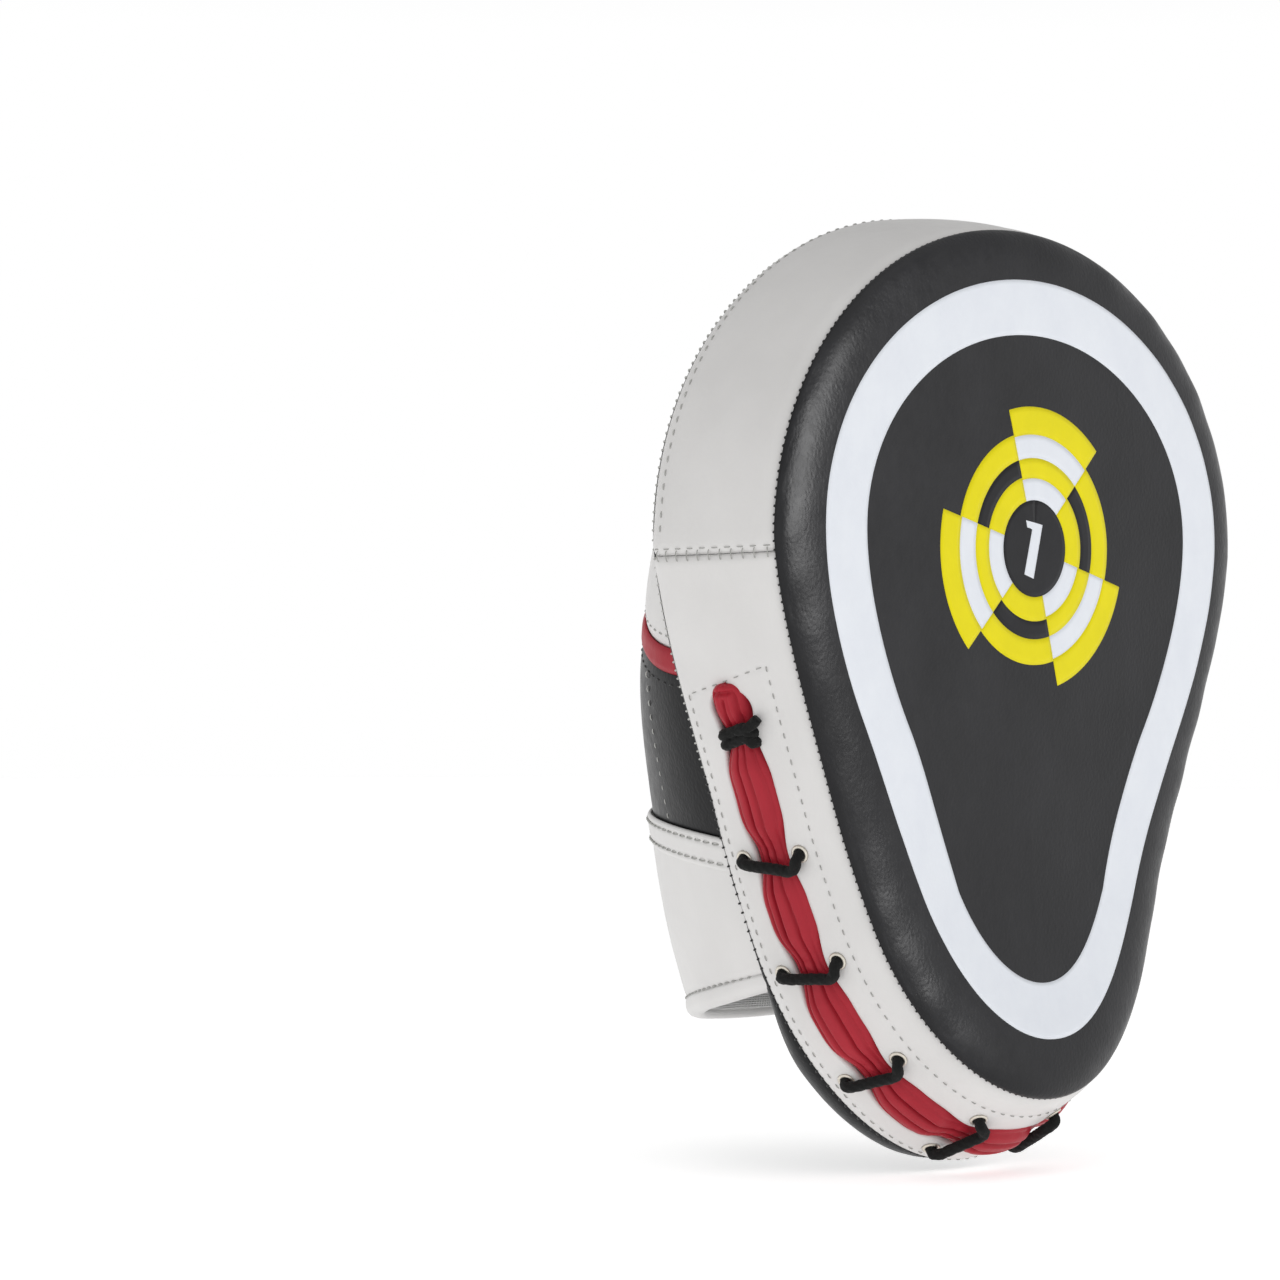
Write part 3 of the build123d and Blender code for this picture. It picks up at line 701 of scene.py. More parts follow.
def add_light(name, place, size, power):
    """A soft rectangular light that faces the frame's origin."""
    data = bpy.data.lights.new(name, "AREA")
    data.shape = "RECTANGLE"
    data.size, data.size_y = size
    data.energy = power
    light = bpy.data.objects.new(name, data)
    light.location = place
    light.rotation_euler = (-Vector(place)).to_track_quat("-Z", "Y").to_euler()
    bpy.context.scene.collection.objects.link(light)
    return light


HORIZON_LIGHT = 1.0        # brightness of the surroundings near the horizon
SKY_LIGHT = 0.45           # and high up
SKY_BLEND = (0.16, 0.5)    # sines of the elevations between which it falls
FLOOR_GLOW = 0.52          # the floor's own light, which keeps it white as studio paper is
FLOOR_HALF = 6.0           # half the floor's side, and its gap under the part, in metres
FLOOR_GAP = 0.0005
LIGHTS = (                 # name, place, width and height in metres, and power in watts
    ("light_top", (-0.3, -0.5, 1.5), (1.6, 1.2), 3.0),
    ("light_left", (-1.6, -0.5, 0.3), (0.8, 1.5), 1.2),
    ("light_front", (0.3, -1.9, 0.7), (1.0, 1.0), 1.5),
    ("light_gloss", (-0.15, -1.6, 0.25), (1.0, 1.5), 56.0),
)


def add_studio():
    """White floor and horizon, dimmer sky, three soft lights and one that only black leather gets."""
    world = bpy.data.worlds.new("studio")
    world.use_nodes = True
    tree = world.node_tree
    background = tree.nodes["Background"]
    direction = tree.nodes.new("ShaderNodeTexCoord")
    split = tree.nodes.new("ShaderNodeSeparateXYZ")
    tree.links.new(direction.outputs["Generated"], split.inputs["Vector"])
    brightness = remap(tree, split.outputs["Z"], HORIZON_LIGHT, SKY_LIGHT, *SKY_BLEND)
    tree.links.new(brightness, background.inputs["Strength"])
    background.inputs["Color"].default_value = (1.0, 1.0, 1.0, 1.0)
    bpy.context.scene.world = world
    bpy.context.scene.view_settings.view_transform = "Standard"
    lights = [add_light(*light) for light in LIGHTS]
    black = bpy.data.collections.new("black_leather_pieces")
    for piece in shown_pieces():
        if piece.data.materials and piece.data.materials[0] == MAT["black"]:
            black.objects.link(piece)
    lights[-1].light_linking.receiver_collection = black
    low = CAD_BOX[0][2] - FLOOR_GAP
    floor_mesh = bpy.data.meshes.new("floor")
    corners = [(x * FLOOR_HALF, y * FLOOR_HALF, low) for x, y in ((-1, -1), (1, -1), (1, 1), (-1, 1))]
    floor_mesh.from_pydata(corners, [], [(0, 1, 2, 3)])
    floor = bpy.data.objects.new("floor", floor_mesh)
    paper = Shading("floor_paper", 0.6)
    paper.colour(paper.remap(paper.noise(300.0), 0.0, 1.0), (0.92, 0.92, 0.92), (0.94, 0.94, 0.94))
    paper.set("Emission Color", (1.0, 1.0, 1.0, 1.0))
    paper.set("Emission Strength", FLOOR_GLOW)
    floor_mesh.materials.append(paper.material)
    bpy.context.scene.collection.objects.link(floor)


# ---------------------------------------------------------------------------------------------
# Pad: face, printed target, foam layers, palm side
# ---------------------------------------------------------------------------------------------
PAD_MIDDLE = np.array([0.0, 18.0])
TO_FRONT = (0.0, -1.0, 0.0)
TO_BACK = (0.0, 1.0, 0.0)


def pad_rings(shares):
    """Pad points of the outline drawn in towards the middle by each share."""
    return [PAD_MIDDLE + (SEAM - PAD_MIDDLE) * share for share in shares]


def face_point(points, lift=0.0):
    """Frame points on the black face at pad points, lifted off it."""
    return bend(points[:, 0], points[:, 1], -face_height(points) - lift)


def make_face():
    """The black leather face, crowned and rolled over at its edge."""
    shares = 1.0 - np.linspace(0.0, 1.0, 76)[:-1] ** 1.55
    rings = [face_point(points) for points in pad_rings(shares)]
    under = bend(SEAM[:, 0] - 1.2 * SEAM_OUT[:, 0], SEAM[:, 1] - 1.2 * SEAM_OUT[:, 1], 1.4)
    middle = face_point(PAD_MIDDLE[None, :])
    piece = rings_piece("face_leather", [under] + rings + [middle], "black", "black_leather",
                        replaces=("face_cover",), flip=True)
    thicken(piece, 0.9, TO_FRONT)
    return piece


FOAM_ROUNDING = 2.5        # radius of the foam layers' edges
FOAM_EDGE = ((0.0, FOAM_ROUNDING), (0.25 * FOAM_ROUNDING, 0.25 * FOAM_ROUNDING), (FOAM_ROUNDING, 0.0))


def foam_layer(name, front, back, inset, node):
    """One foam layer of the pad: front and back give depths at pad points."""
    base = SEAM - SEAM_OUT * inset
    inner = base - SEAM_OUT * FOAM_ROUNDING
    rings = [(base - SEAM_OUT * step, drop) for step, drop in FOAM_EDGE]
    rings += [(PAD_MIDDLE + (inner - PAD_MIDDLE) * share, 0.0) for share in np.linspace(1.0, 0.0, 26)[1:-1]]
    rings.append((PAD_MIDDLE[None, :], 0.0))

    def placed(points, depth):
        spread = FLARE * depth
        outward = SEAM_OUT if len(points) == SEAM_COUNT else np.zeros((1, 2))
        share = np.clip(np.hypot(*(points - PAD_MIDDLE).T) / 60.0, 0.0, 1.0)[:, None]
        moved = points + outward * (spread * share[:, 0])[:, None]
        return bend(moved[:, 0], moved[:, 1], depth)

    front_rings = [placed(points, front(points) + drop) for points, drop in rings]
    back_rings = [placed(points, back(points) - drop) for points, drop in rings]
    piece = rings_piece(name, front_rings[::-1] + back_rings, "foam", "foam", replaces=(node,))


def make_foam():
    """The pad's three foam layers."""
    def front_of_strike(points):
        return -face_height(points) + 1.4

    def flat(depth):
        return lambda points: np.full(len(points), depth)

    def back_of_palm(points):
        return WALL + 0.85 * back_height(points) - 2.6

    foam_layer("foam_strike", front_of_strike, flat(13.5), 2.2, "strike_foam")
    foam_layer("foam_shock", flat(13.6), flat(40.4), 12.0, "shock_foam")
    foam_layer("foam_palm", flat(40.5), back_of_palm, 9.0, "palm_foam")


def film(name, outer, inner, lift, material, rows):
    """A printed film on the face between two closed rings of pad points."""
    shares = np.linspace(0.0, 1.0, rows + 1)
    points = np.vstack([face_point(outer + (inner - outer) * share, lift) for share in shares])
    faces = grid_faces(rows + 1, len(outer), closed=True)
    thicken(make_piece(name, points, faces, material, SLOT_OF[material], flip=True), 0.25, TO_FRONT)


def arc_ring(inner, outer, start, stop, lift):
    """Grid of face points over a sector of a ring, angles clockwise from the top."""
    rows = max(2, int((outer - inner) / PRINT_STEP) + 1)
    cols = max(4, int(math.radians(stop - start) * outer / PRINT_STEP) + 1)
    radius = np.linspace(inner, outer, rows)[:, None]
    angle = np.radians(np.linspace(start, stop, cols))[None, :]
    across = radius * np.sin(angle)
    along = TARGET_V + radius * np.cos(angle)
    points = np.column_stack([across.ravel(), along.ravel()])
    return face_point(points, lift), rows, cols


def sector(name, inner, outer, start, stop, material):
    """A printed sector of the target."""
    points, rows, cols = arc_ring(inner * DISC_R, outer * DISC_R, start, stop, 0.10)
    piece = make_piece(name, points, grid_faces(rows, cols), material, SLOT_OF[material])
    thicken(piece, 0.22, TO_FRONT)


PRINT_STEP = 1.6           # spacing of the target's points
SLOT_OF = {"ink_white": "white_leather", "ink_yellow": "white_leather", "ink_black": "black_leather"}
BLADES = ((-16.0, 44.0), (104.0, 164.0), (224.0, 284.0))
BLADE_RINGS = ((1.0, 1.45, "ink_white"), (1.45, 1.87, "ink_yellow"), (1.87, 2.35, "ink_white"),
               (2.35, 2.93, "ink_yellow"))
REST_RINGS = ((1.0, 1.5, "ink_yellow"), (1.5, 1.87, "ink_black"), (1.87, 2.4, "ink_yellow"))


def make_prints():
    """White band round the face and the ringed target with its numeral."""
    outer = closed_outline(BAND_OUTER, SEAM_COUNT)[0]
    inner = closed_outline(BAND_INNER, SEAM_COUNT)[0]
    film("band_print", outer, inner, 0.09, "ink_white", rows=12)
    for low, high in BLADES:
        for number, (r_in, r_out, ink_name) in enumerate(BLADE_RINGS):
            sector(f"target_blade_{int(low) + 16}_{number}", r_in, r_out, low, high, ink_name)
    for index, (low, high) in enumerate(BLADES):
        next_low = BLADES[(index + 1) % 3][0] + (360.0 if index == 2 else 0.0)
        for number, (r_in, r_out, ink_name) in enumerate(REST_RINGS):
            sector(f"target_rest_{index}_{number}", r_in, r_out, high, next_low, ink_name)
    points, rows, cols = arc_ring(0.4, DISC_R, 0.0, 360.0, 0.09)
    disc = make_piece("target_disc", points, grid_faces(rows, cols), "ink_black", "black_leather")
    thicken(disc, 0.2, TO_FRONT)
    make_numeral()


NUMERAL = ((-4.8, -8.1), (-0.4, -9.3), (3.65, 7.5), (-4.25, 8.6), (-3.6, 6.3), (-1.2, 6.1))


def make_numeral():
    """The slanted numeral on the target's middle disc."""
    corners = [y for _, y in NUMERAL]
    grid = []
    for height in np.linspace(min(corners), max(corners), 60):
        hits = []
        for (x0, y0), (x1, y1) in zip(NUMERAL, NUMERAL[1:] + NUMERAL[:1]):
            if (y0 - height) * (y1 - height) <= 0.0 and abs(y1 - y0) > 1e-6:
                hits.append(x0 + (x1 - x0) * (height - y0) / (y1 - y0))
        low, high = min(hits), max(hits) + 0.02
        for share in np.linspace(0.0, 1.0, 7):
            grid.append((low + (high - low) * share, TARGET_V + height))
    points = face_point(np.array(grid), 0.17)
    piece = make_piece("target_numeral", points, grid_faces(60, 7), "ink_white", "white_leather", flip=True)
    thicken(piece, 0.2, TO_FRONT)


def make_back():
    """The black palm side, crowned and rolled over at its edge, fuller at the heel."""
    shares = 1.0 - np.linspace(0.0, 1.0, 60)[:-1] ** 1.5
    grow = FLARE * WALL - 2.4
    rings = []
    for share in shares:
        points = PAD_MIDDLE + (SEAM - PAD_MIDDLE) * share
        spread = points + SEAM_OUT * (grow * share)
        rings.append(bend(spread[:, 0], spread[:, 1], WALL - 0.2 + back_height(points)))
    middle = bend(np.array([PAD_MIDDLE[0]]), np.array([PAD_MIDDLE[1]]),
                  WALL - 0.2 + back_height(PAD_MIDDLE[None, :]))
    under = SEAM + SEAM_OUT * (FLARE * WALL - 3.4)
    rings = [bend(under[:, 0], under[:, 1], WALL - 1.6)] + rings + [middle]
    piece = rings_piece("palm_leather", rings, "black", "black_leather",
                        replaces=("back_cover", "heel_cover", "heel_foam"))
    thicken(piece, 0.9, TO_BACK)


# ---------------------------------------------------------------------------------------------
# Laced wall
# ---------------------------------------------------------------------------------------------
CROSSINGS = (*SINGLE_AT, DOUBLE_AT)
SINGLES = [-d for d in reversed(SINGLE_AT)] + list(SINGLE_AT)
OPENING_WIDE = 8.2
OPENING_TIGHT = 6.4
OPENING_DOUBLE = 6.6
HOLE_R = 2.3
EYELET_BORE_R = 1.95


def crossing_gap(reach):
    """Distance from each place to the nearest crossing."""
    return np.min(np.abs(reach[..., None] - np.array(CROSSINGS)), axis=-1)


def opening_half(distance):
    """Half width of the laced opening at signed distances: tight at each crossing, rounded ends."""
    reach = np.abs(distance)
    nearest = crossing_gap(reach)
    wide = OPENING_TIGHT + (OPENING_WIDE - OPENING_TIGHT) * smooth_step(nearest / 13.0)
    wide = wide - (OPENING_TIGHT - OPENING_DOUBLE) * np.exp(-((reach - DOUBLE_AT) / 6.0) ** 2)
    end = np.clip((SLOT_END - reach) / 8.0, 0.0, 1.0)
    return wide * np.sqrt(1.0 - (1.0 - end) ** 2)


def punch(mesh_points, faces, centres, radius):
    """Leave out the faces at each round hole and pull the hole's rim onto its circle."""
    points = np.array(mesh_points)
    centres = np.array(centres)
    faces_array = np.array(faces)
    middle = points[faces_array].mean(axis=1)
    gaps = np.linalg.norm(middle[:, None] - centres[None], axis=2).min(axis=1)
    inside = gaps < radius
    kept = faces_array[~inside]
    for vertex in np.intersect1d(np.unique(faces_array[inside]), np.unique(kept)):
        away = points[vertex] - centres
        nearest = int(np.argmin(np.linalg.norm(away, axis=1)))
        points[vertex] = centres[nearest] + away[nearest] / np.linalg.norm(away[nearest]) * radius
    return points, kept.tolist()


def hole_centres():
    """Middle of every eyelet's hole, with its distance along the wall and its offset across it."""
    holes = []
    for side in (-1.0, 1.0):
        for distance in SINGLES:
            row = side * EYELET_OFFSET
            here = wall_surface(distance, SLOT_DEPTH + row)
            holes.append((here, distance, row))
    return holes


def wall_strip(distances, row_depths, heights):
    """Grid points of a strip: row_depths is one array of depths for each row."""
    rows = [wall_surface(distances, depth, height) for depth, height in zip(row_depths, heights)]
    return np.vstack(rows), grid_faces(len(rows), len(distances))


def make_walls():
    """White leather wall: a lower piece with the laced opening and an upper piece round the fingers."""
    distances = np.linspace(-WIDEST_AT + 0.06, WIDEST_AT - 0.06, 561)
    half = opening_half(distances)
    front_lip = SLOT_DEPTH - half
    back_lip = SLOT_DEPTH + half
    fold = 1.3 * np.clip(half / 3.0, 0.0, 1.0)
    shares = np.linspace(0.0, 1.0, 24)
    depths = [np.full_like(distances, 1.4)] + [front_lip * share for share in shares]
    heights = [np.full_like(distances, -2.2)] + [np.zeros_like(distances)] * len(shares)
    depths += [front_lip + 0.35 * fold, front_lip + 0.1 * fold]
    heights += [-0.55 * fold, -2.6 * fold]
    front_points, front_faces = wall_strip(distances, depths, heights)
    depths = [back_lip - 0.1 * fold, back_lip - 0.35 * fold]
    heights = [-2.6 * fold, -0.55 * fold]
    depths += [back_lip + (WALL - back_lip) * share for share in shares]
    heights += [np.zeros_like(distances)] * len(shares)
    depths += [np.full_like(distances, WALL - 1.2)]
    heights += [np.full_like(distances, -2.2)]
    back_points, back_faces = wall_strip(distances, depths, heights)
    points = np.vstack([front_points, back_points])
    faces = front_faces + [[v + len(front_points) for v in face] for face in back_faces]
    points, faces = punch(points, faces, [centre for centre, _, _ in hole_centres()], HOLE_R)
    piece = make_piece("wall_leather_lower", points, faces, "white", "white_leather",
                       replaces=("wall_lower", "slot_facing"))
    merge_close(piece, 0.03)
    tidy_mesh(piece)
    thicken(piece, 0.9)

    span = SEAM_LENGTH - 2 * WIDEST_AT
    distances = WIDEST_AT + 0.06 + np.linspace(0.0, 1.0, 260) * (span - 0.12)
    depths = [np.full_like(distances, 1.4)]
    depths += [np.full_like(distances, WALL * share) for share in np.linspace(0, 1, 40)]
    depths += [np.full_like(distances, WALL - 1.2)]
    heights = [np.full_like(distances, -2.2)] + [np.zeros_like(distances)] * 40
    heights += [np.full_like(distances, -2.2)]
    points, faces = wall_strip(folded(distances), depths, heights)
    upper = make_piece("wall_leather_upper", points, faces, "white", "white_leather",
                       replaces=("wall_upper",))
    thicken(upper, 0.9)


def tidy_mesh(piece):
    """Drop slivers and loose points."""
    mesh = bmesh.new()
    mesh.from_mesh(piece.data)
    bmesh.ops.dissolve_degenerate(mesh, dist=0.002 * MM, edges=mesh.edges)
    loose = [v for v in mesh.verts if not v.link_faces]
    bmesh.ops.delete(mesh, geom=loose, context="VERTS")
    mesh.to_mesh(piece.data)
    mesh.free()


def tongue_height(distance):
    """Height of the red tongue's crown: full between crossings, pinched under each."""
    reach = np.abs(distance)
    nearest = crossing_gap(reach)
    full = 0.5 + 2.3 * smooth_step((nearest - 1.5) / 9.0)
    return full + 0.25 * ripple(distance, distance * 0.0, 21, 17.0)


def tongue_half(distance):
    """Half width of the tongue: wide lobes between crossings, narrow under each, a slim looped end."""
    reach = np.abs(distance)
    nearest = crossing_gap(reach)
    wide = 5.9 + 3.0 * smooth_step((nearest - 1.0) / 13.0) + 0.4 * ripple(reach, reach * 0.0, 22, 14.0)
    slim = smooth_step((reach - DOUBLE_AT) / 6.0)
    pinch = 2.0 * np.exp(-((reach - DOUBLE_AT) / 3.2) ** 2)
    return wide * (1.0 - slim) + 6.0 * slim - pinch


TONGUE_END = SLOT_END + 1.5
TONGUE_CREASES = (
    # seed, place across, depth, width
    (31, -0.30, 3.0, 0.064),
    (32, 0.22, 2.6, 0.054),
    (33, 0.60, 1.7, 0.050),
    (34, -0.70, 1.2, 0.046),
)


def make_tongue():
    """The folded red leather tongue in the laced opening, with lengthwise creases and a looped end."""
    distances = np.linspace(-TONGUE_END, TONGUE_END, 860)
    reach = np.abs(distances)
    close = (1.0 - np.clip((reach - TONGUE_END + 5.6) / 5.6, 0.0, 1.0) ** 2.6) ** (1.0 / 2.6)
    half = tongue_half(distances) * np.maximum(close, 0.03)
    crown = tongue_height(distances) * np.maximum(close, 0.1) ** 0.5
    end_zone = smooth_step((reach - DOUBLE_AT - 1.0) / 5.0)
    rows = []
    for share in np.linspace(-1.0, 1.0, 61):
        profile = (1.0 - abs(share) ** 3.0) ** 0.55
        height = -3.4 + (crown + 3.4) * profile
        for seed, middle, deep, width in TONGUE_CREASES:
            wander = middle + 0.13 * ripple(distances, distances * 0.0, seed, 26.0)
            deep_here = deep * (0.65 + 0.35 * ripple(distances, distances * 0.0, seed + 7, 20.0))
            deep_here = deep_here * (1.0 - 0.8 * end_zone)
            height = height - deep_here * np.exp(-(np.abs(share - wander) / width) ** 1.5) * profile
        rim = np.minimum(half * (1.0 - abs(share)), (TONGUE_END - reach) * 0.9)
        height = height - 1.5 * end_zone * np.exp(-((rim - 2.3) / 0.5) ** 2)
        fold = np.exp(-((share * half - 0.10 * (TONGUE_END - reach) + 0.6) / 0.55) ** 2)
        height = height - 1.4 * end_zone * fold * smooth_step((TONGUE_END - 3.5 - reach) / 2.0)
        wave = 0.22 * ripple(distances, np.full_like(distances, share * 9.0), 36, 8.0)
        pleat = 0.16 * np.sin(distances * 1.9 + share * 5.0) * np.exp(-np.abs(share) * 2.0)
        height = height + (wave + pleat * np.exp(-crossing_gap(reach) / 5.0)) * profile
        rows.append(wall_surface(distances, SLOT_DEPTH + share * half, height))
    piece = make_piece("tongue_leather", np.vstack(rows), grid_faces(len(rows), len(distances)), "red",
                       "red_leather", replaces=("tongue",))
    tidy_mesh(piece)
    thicken(piece, 0.8)


def lace_over(distance, sag, offset, shift):
    """Points of one crossing: up out of the back hole, over the tongue, hooked up into the front hole."""
    toward = -math.copysign(1.0, distance)
    rows = (
        (1.0, 0.0, -4.8), (1.0, 0.0, -1.0), (0.96, 0.05, 1.9), (0.72, 0.20, 2.7), (0.38, 0.42, 2.6),
        (0.0, 0.62, 2.6), (-0.38, 0.85, 2.6), (-0.68, 1.05, 2.6), (-0.88, 0.85, 2.7), (-0.99, 0.25, 2.2),
        (-1.0, 0.0, -0.8), (-1.0, 0.0, -4.8),
    )
    places = []
    for share_across, share, height in rows:
        depth = SLOT_DEPTH + shift + offset * share_across
        places.append(wall_surface(distance + toward * sag * share, depth, height))
    return places


def make_lace():
    """The woven lace along its whole route, crossings outside and returns behind the wall."""
    half = 0.44 * DOUBLE_STEP
    stops = [(-DOUBLE_AT - half, -2.2, DOUBLE_OFFSET, DOUBLE_SHIFT),
             (-DOUBLE_AT + half, -2.4, DOUBLE_OFFSET, DOUBLE_SHIFT)]
    stops += [(d, 3.3 + 0.5 * math.sin(d), EYELET_OFFSET, 0.0) for d in SINGLES]
    stops += [(DOUBLE_AT - half, -2.4, DOUBLE_OFFSET, DOUBLE_SHIFT),
              (DOUBLE_AT + half, -2.2, DOUBLE_OFFSET, DOUBLE_SHIFT)]
    tail = DOUBLE_AT + half + 18.0
    points = [wall_surface(-tail, SLOT_DEPTH, -6.6)]
    for distance, sag, offset, shift in stops:
        points += lace_over(distance, sag, offset, shift)
    points.append(wall_surface(tail, SLOT_DEPTH, -6.6))
    path = catmull(points, 0.5)

    def braid(length, angle):
        turn = 2 * math.pi * length / 3.4
        weave = np.maximum(np.sin(4 * angle + turn), np.sin(4 * angle - turn))
        return 0.98 + 0.10 * weave

    lace_points, faces = tube(path, LACE_R, 20, braid)
    make_piece("lace_cord", lace_points, faces, "lace", "lace_cord", replaces=("lace",))
    for side, label in ((-1.0, "left"), (1.0, "right")):
        start = side * (DOUBLE_AT + half)
        nub = [
            wall_surface(start + side * 1.4, SLOT_DEPTH - 2.6, 2.8),
            wall_surface(start + side * 2.1, SLOT_DEPTH - 5.6, 3.0),
            wall_surface(start + side * 3.2, SLOT_DEPTH - 8.2, 2.6),
            wall_surface(start + side * 4.8, SLOT_DEPTH - 10.2, 2.0),
        ]
        nub_points, nub_faces = tube(catmull(nub, 0.4), LACE_R * 0.92, 20, braid)
        make_piece(f"lace_end_{label}", nub_points, nub_faces, "lace", "lace_cord")


def make_eyelets():
    """Metal eyelets: a rolled lip on the leather and a barrel through it."""
    profile = np.array([
        (-0.25, -2.4), (-0.25, 0.30), (0.05, 0.58), (0.42, 0.60), (0.80, 0.38), (0.92, 0.02), (0.5, -0.1),
        (0.05, -0.15), (0.02, -2.4),
    ])
    all_points, all_faces = [], []
    start = 0
    for centre, distance, row in hole_centres():
        depth = SLOT_DEPTH + row
        normal = wall_normal(np.array([distance]), np.array([depth]))[0]
        along = wall_surface(distance + 1.0, depth) - wall_surface(distance - 1.0, depth)
        along -= normal * np.dot(along, normal)
        along /= np.linalg.norm(along)
        across = np.cross(normal, along)
        angle = np.linspace(0.0, 2 * math.pi, 28, endpoint=False)
        rows = []
        for reach, height in profile:
            ring_u = (np.cos(angle) * (EYELET_BORE_R + reach))[:, None]
            ring_v = (np.sin(angle) * (EYELET_BORE_R + reach))[:, None]
            rows.append(centre + ring_u * along + ring_v * across + normal * (height + 0.05))
        rows.append(rows[0])
        all_points.append(np.vstack(rows))
        all_faces += grid_faces(len(rows), len(angle), closed=True, start=start)
        start += len(rows) * len(angle)
    piece = make_piece("eyelet_rings", np.vstack(all_points), all_faces, "metal", "eyelet_metal",
                       replaces=("eyelets",))
    merge_close(piece, 0.001)


# ---------------------------------------------------------------------------------------------
# Hand hood and cuff
# ---------------------------------------------------------------------------------------------
def hood_point(turn, height, inset):
    """Point of the hood at a turn (-1..0 left skirt, 0..pi over the back, then the right skirt)."""
    turn, height, inset = np.broadcast_arrays(turn, height, inset)
    held = np.clip(height, HOOD_Z[0], HOOD_Z[-1])
    beyond = np.maximum(height - HOOD_Z[-1], 0.0)
    half = hermite(held, HOOD_Z, HOOD_HALF) - 1.25 * beyond - inset
    rise = hermite(held, HOOD_Z, HOOD_RISE) - 0.75 * beyond - inset
    over = np.clip(turn, 0.0, math.pi)
    x = -half * np.cos(over)
    y = rise * np.sin(over)
    drop = np.clip(-turn, 0.0, 1.0) + np.clip(turn - math.pi, 0.0, 1.0)
    angle = np.clip((KNEE - height) / (BEND - WALL), 0.0, 1.0)
    root = (BEND + WALL) * (1.0 - np.cos(angle)) + 1.5
    return np.stack([x, y - drop * root, np.broadcast_to(height, x.shape)], axis=-1)


def hood_turns():
    """Turns across the hood from the left skirt to the right."""
    over = np.linspace(0.0, math.pi, 150)
    left = np.linspace(-1.0, 0.0, 8, endpoint=False)
    right = math.pi + np.linspace(0.0, 1.0, 9)[1:]
    return np.concatenate([left, over, right])


def arc_height(turns, radius):
    """Height where the hood's outer skin meets the arc of that radius, for each turn."""
    low = np.full(len(turns), -70.0)
    high = np.full(len(turns), 60.0)
    for _ in range(40):
        middle = (low + high) / 2
        p = hood_point(turns, middle, 0.0)
        far = np.hypot(p[:, 0], p[:, 2] - ARC_CENTRE_Z)
        low = np.where(far < radius, middle, low)
        high = np.where(far < radius, high, middle)
    return (low + high) / 2


def edge_height(turns, edge):
    """Height of a slanted cuff edge at each turn."""
    height = np.full(len(turns), edge[0])
    for _ in range(4):
        height = edge[0] + edge[1] * np.maximum(hood_point(turns, height, 0.0)[:, 1], -12.0)
    return height


def hood_panel(name, low, high, rows, inset_at, material, node, slot, thickness=1.0):
    """A panel of the hood or cuff between two heights, each an array over the turns."""
    turns = hood_turns()
    points = []
    for share in np.linspace(0.0, 1.0, rows):
        height = low + (high - low) * share
        points.append(hood_point(turns, height, inset_at(turns, height, share)))
    piece = make_piece(name, np.vstack(points), grid_faces(rows, len(turns)), material, slot,
                       replaces=(node,))
    return thicken(piece, thickness)


def make_hood():
    """Black lower panel, red arc band and white upper panel over the back of the hand."""
    turns = hood_turns()
    arc_low = arc_height(turns, ARC_INNER)
    arc_high = arc_height(turns, ARC_INNER + ARC_WIDTH)
    top = np.full(len(turns), HOOD_Z[-1] + 5.0)

    def soft(turns_, height, seed):
        return 0.45 * ripple(turns_ * 60.0, height, seed, 38.0)

    def lower(turns_, height, share):
        roll = 1.1 * np.exp(-(1.0 - share) * 60.0 / 2.2)
        return soft(turns_, height, 51) + roll - 0.5 * math.sin(math.pi * share)

    def band(turns_, height, share):
        edge = min(share, 1.0 - share)
        return soft(turns_, height, 51) - 0.9 * (1.0 - (1.0 - min(edge / 0.3, 1.0)) ** 2) + 0.5

    def upper(turns_, height, share):
        roll = 1.2 * math.exp(-share * 90.0 / 2.4)
        return soft(turns_, height, 51) + roll - 0.7 * math.sin(math.pi * share) ** 0.7

    bottom = np.full(len(turns), HOOD_BOTTOM)
    for name, low, high, rows, inset_at, colour, node in (
        ("hood_black", bottom, arc_low + 0.6, 60, lower, "black", "hood_lower"),
        ("hood_red", arc_low, arc_high, 16, band, "red", "hood_arc"),
        ("hood_white", arc_high - 0.4, top, 90, upper, "white", "hood_upper"),
    ):
        panel = hood_panel(name, low, high, rows, inset_at, colour, node, f"{colour}_leather")


def shell(name, outer, inner, low, high, material, slot, replaces, rows=40, end=1.2):
    """A closed shell between two insets of the hood, from low to high over each turn, ends rounded."""
    turns = hood_turns()
    shares = np.linspace(0.0, 1.0, rows)
    section = [(share, 0.0, 0.0) for share in shares]
    section += [(1.0, 0.6 * end, 0.25), (1.0, end, 0.5), (1.0, 0.6 * end, 0.75)]
    section += [(share, 0.0, 1.0) for share in shares[::-1]]
    section += [(0.0, -0.6 * end, 0.75), (0.0, -end, 0.5), (0.0, -0.6 * end, 0.25), (0.0, 0.0, 0.0)]
    points = []
    for share, past, across in section:
        height = low + (high - low) * share + past
        points.append(hood_point(turns, height, outer(height) + (inner(height) - outer(height)) * across))
    cols = len(turns)
    faces = grid_faces(len(points), cols)
    faces.append([row * cols for row in range(len(points) - 1)][::-1])
    faces.append([row * cols + cols - 1 for row in range(len(points) - 1)])
    piece = make_piece(name, np.vstack(points), faces, material, slot, replaces=replaces)
    merge_close(piece, 0.001)
    return piece


def lining_inset(height):
    """How far the lining lies inside the hood: the padding thins towards the cuff's hem."""
    return 6.9 - 3.3 * smooth_step((-96.0 - height) / 18.0)


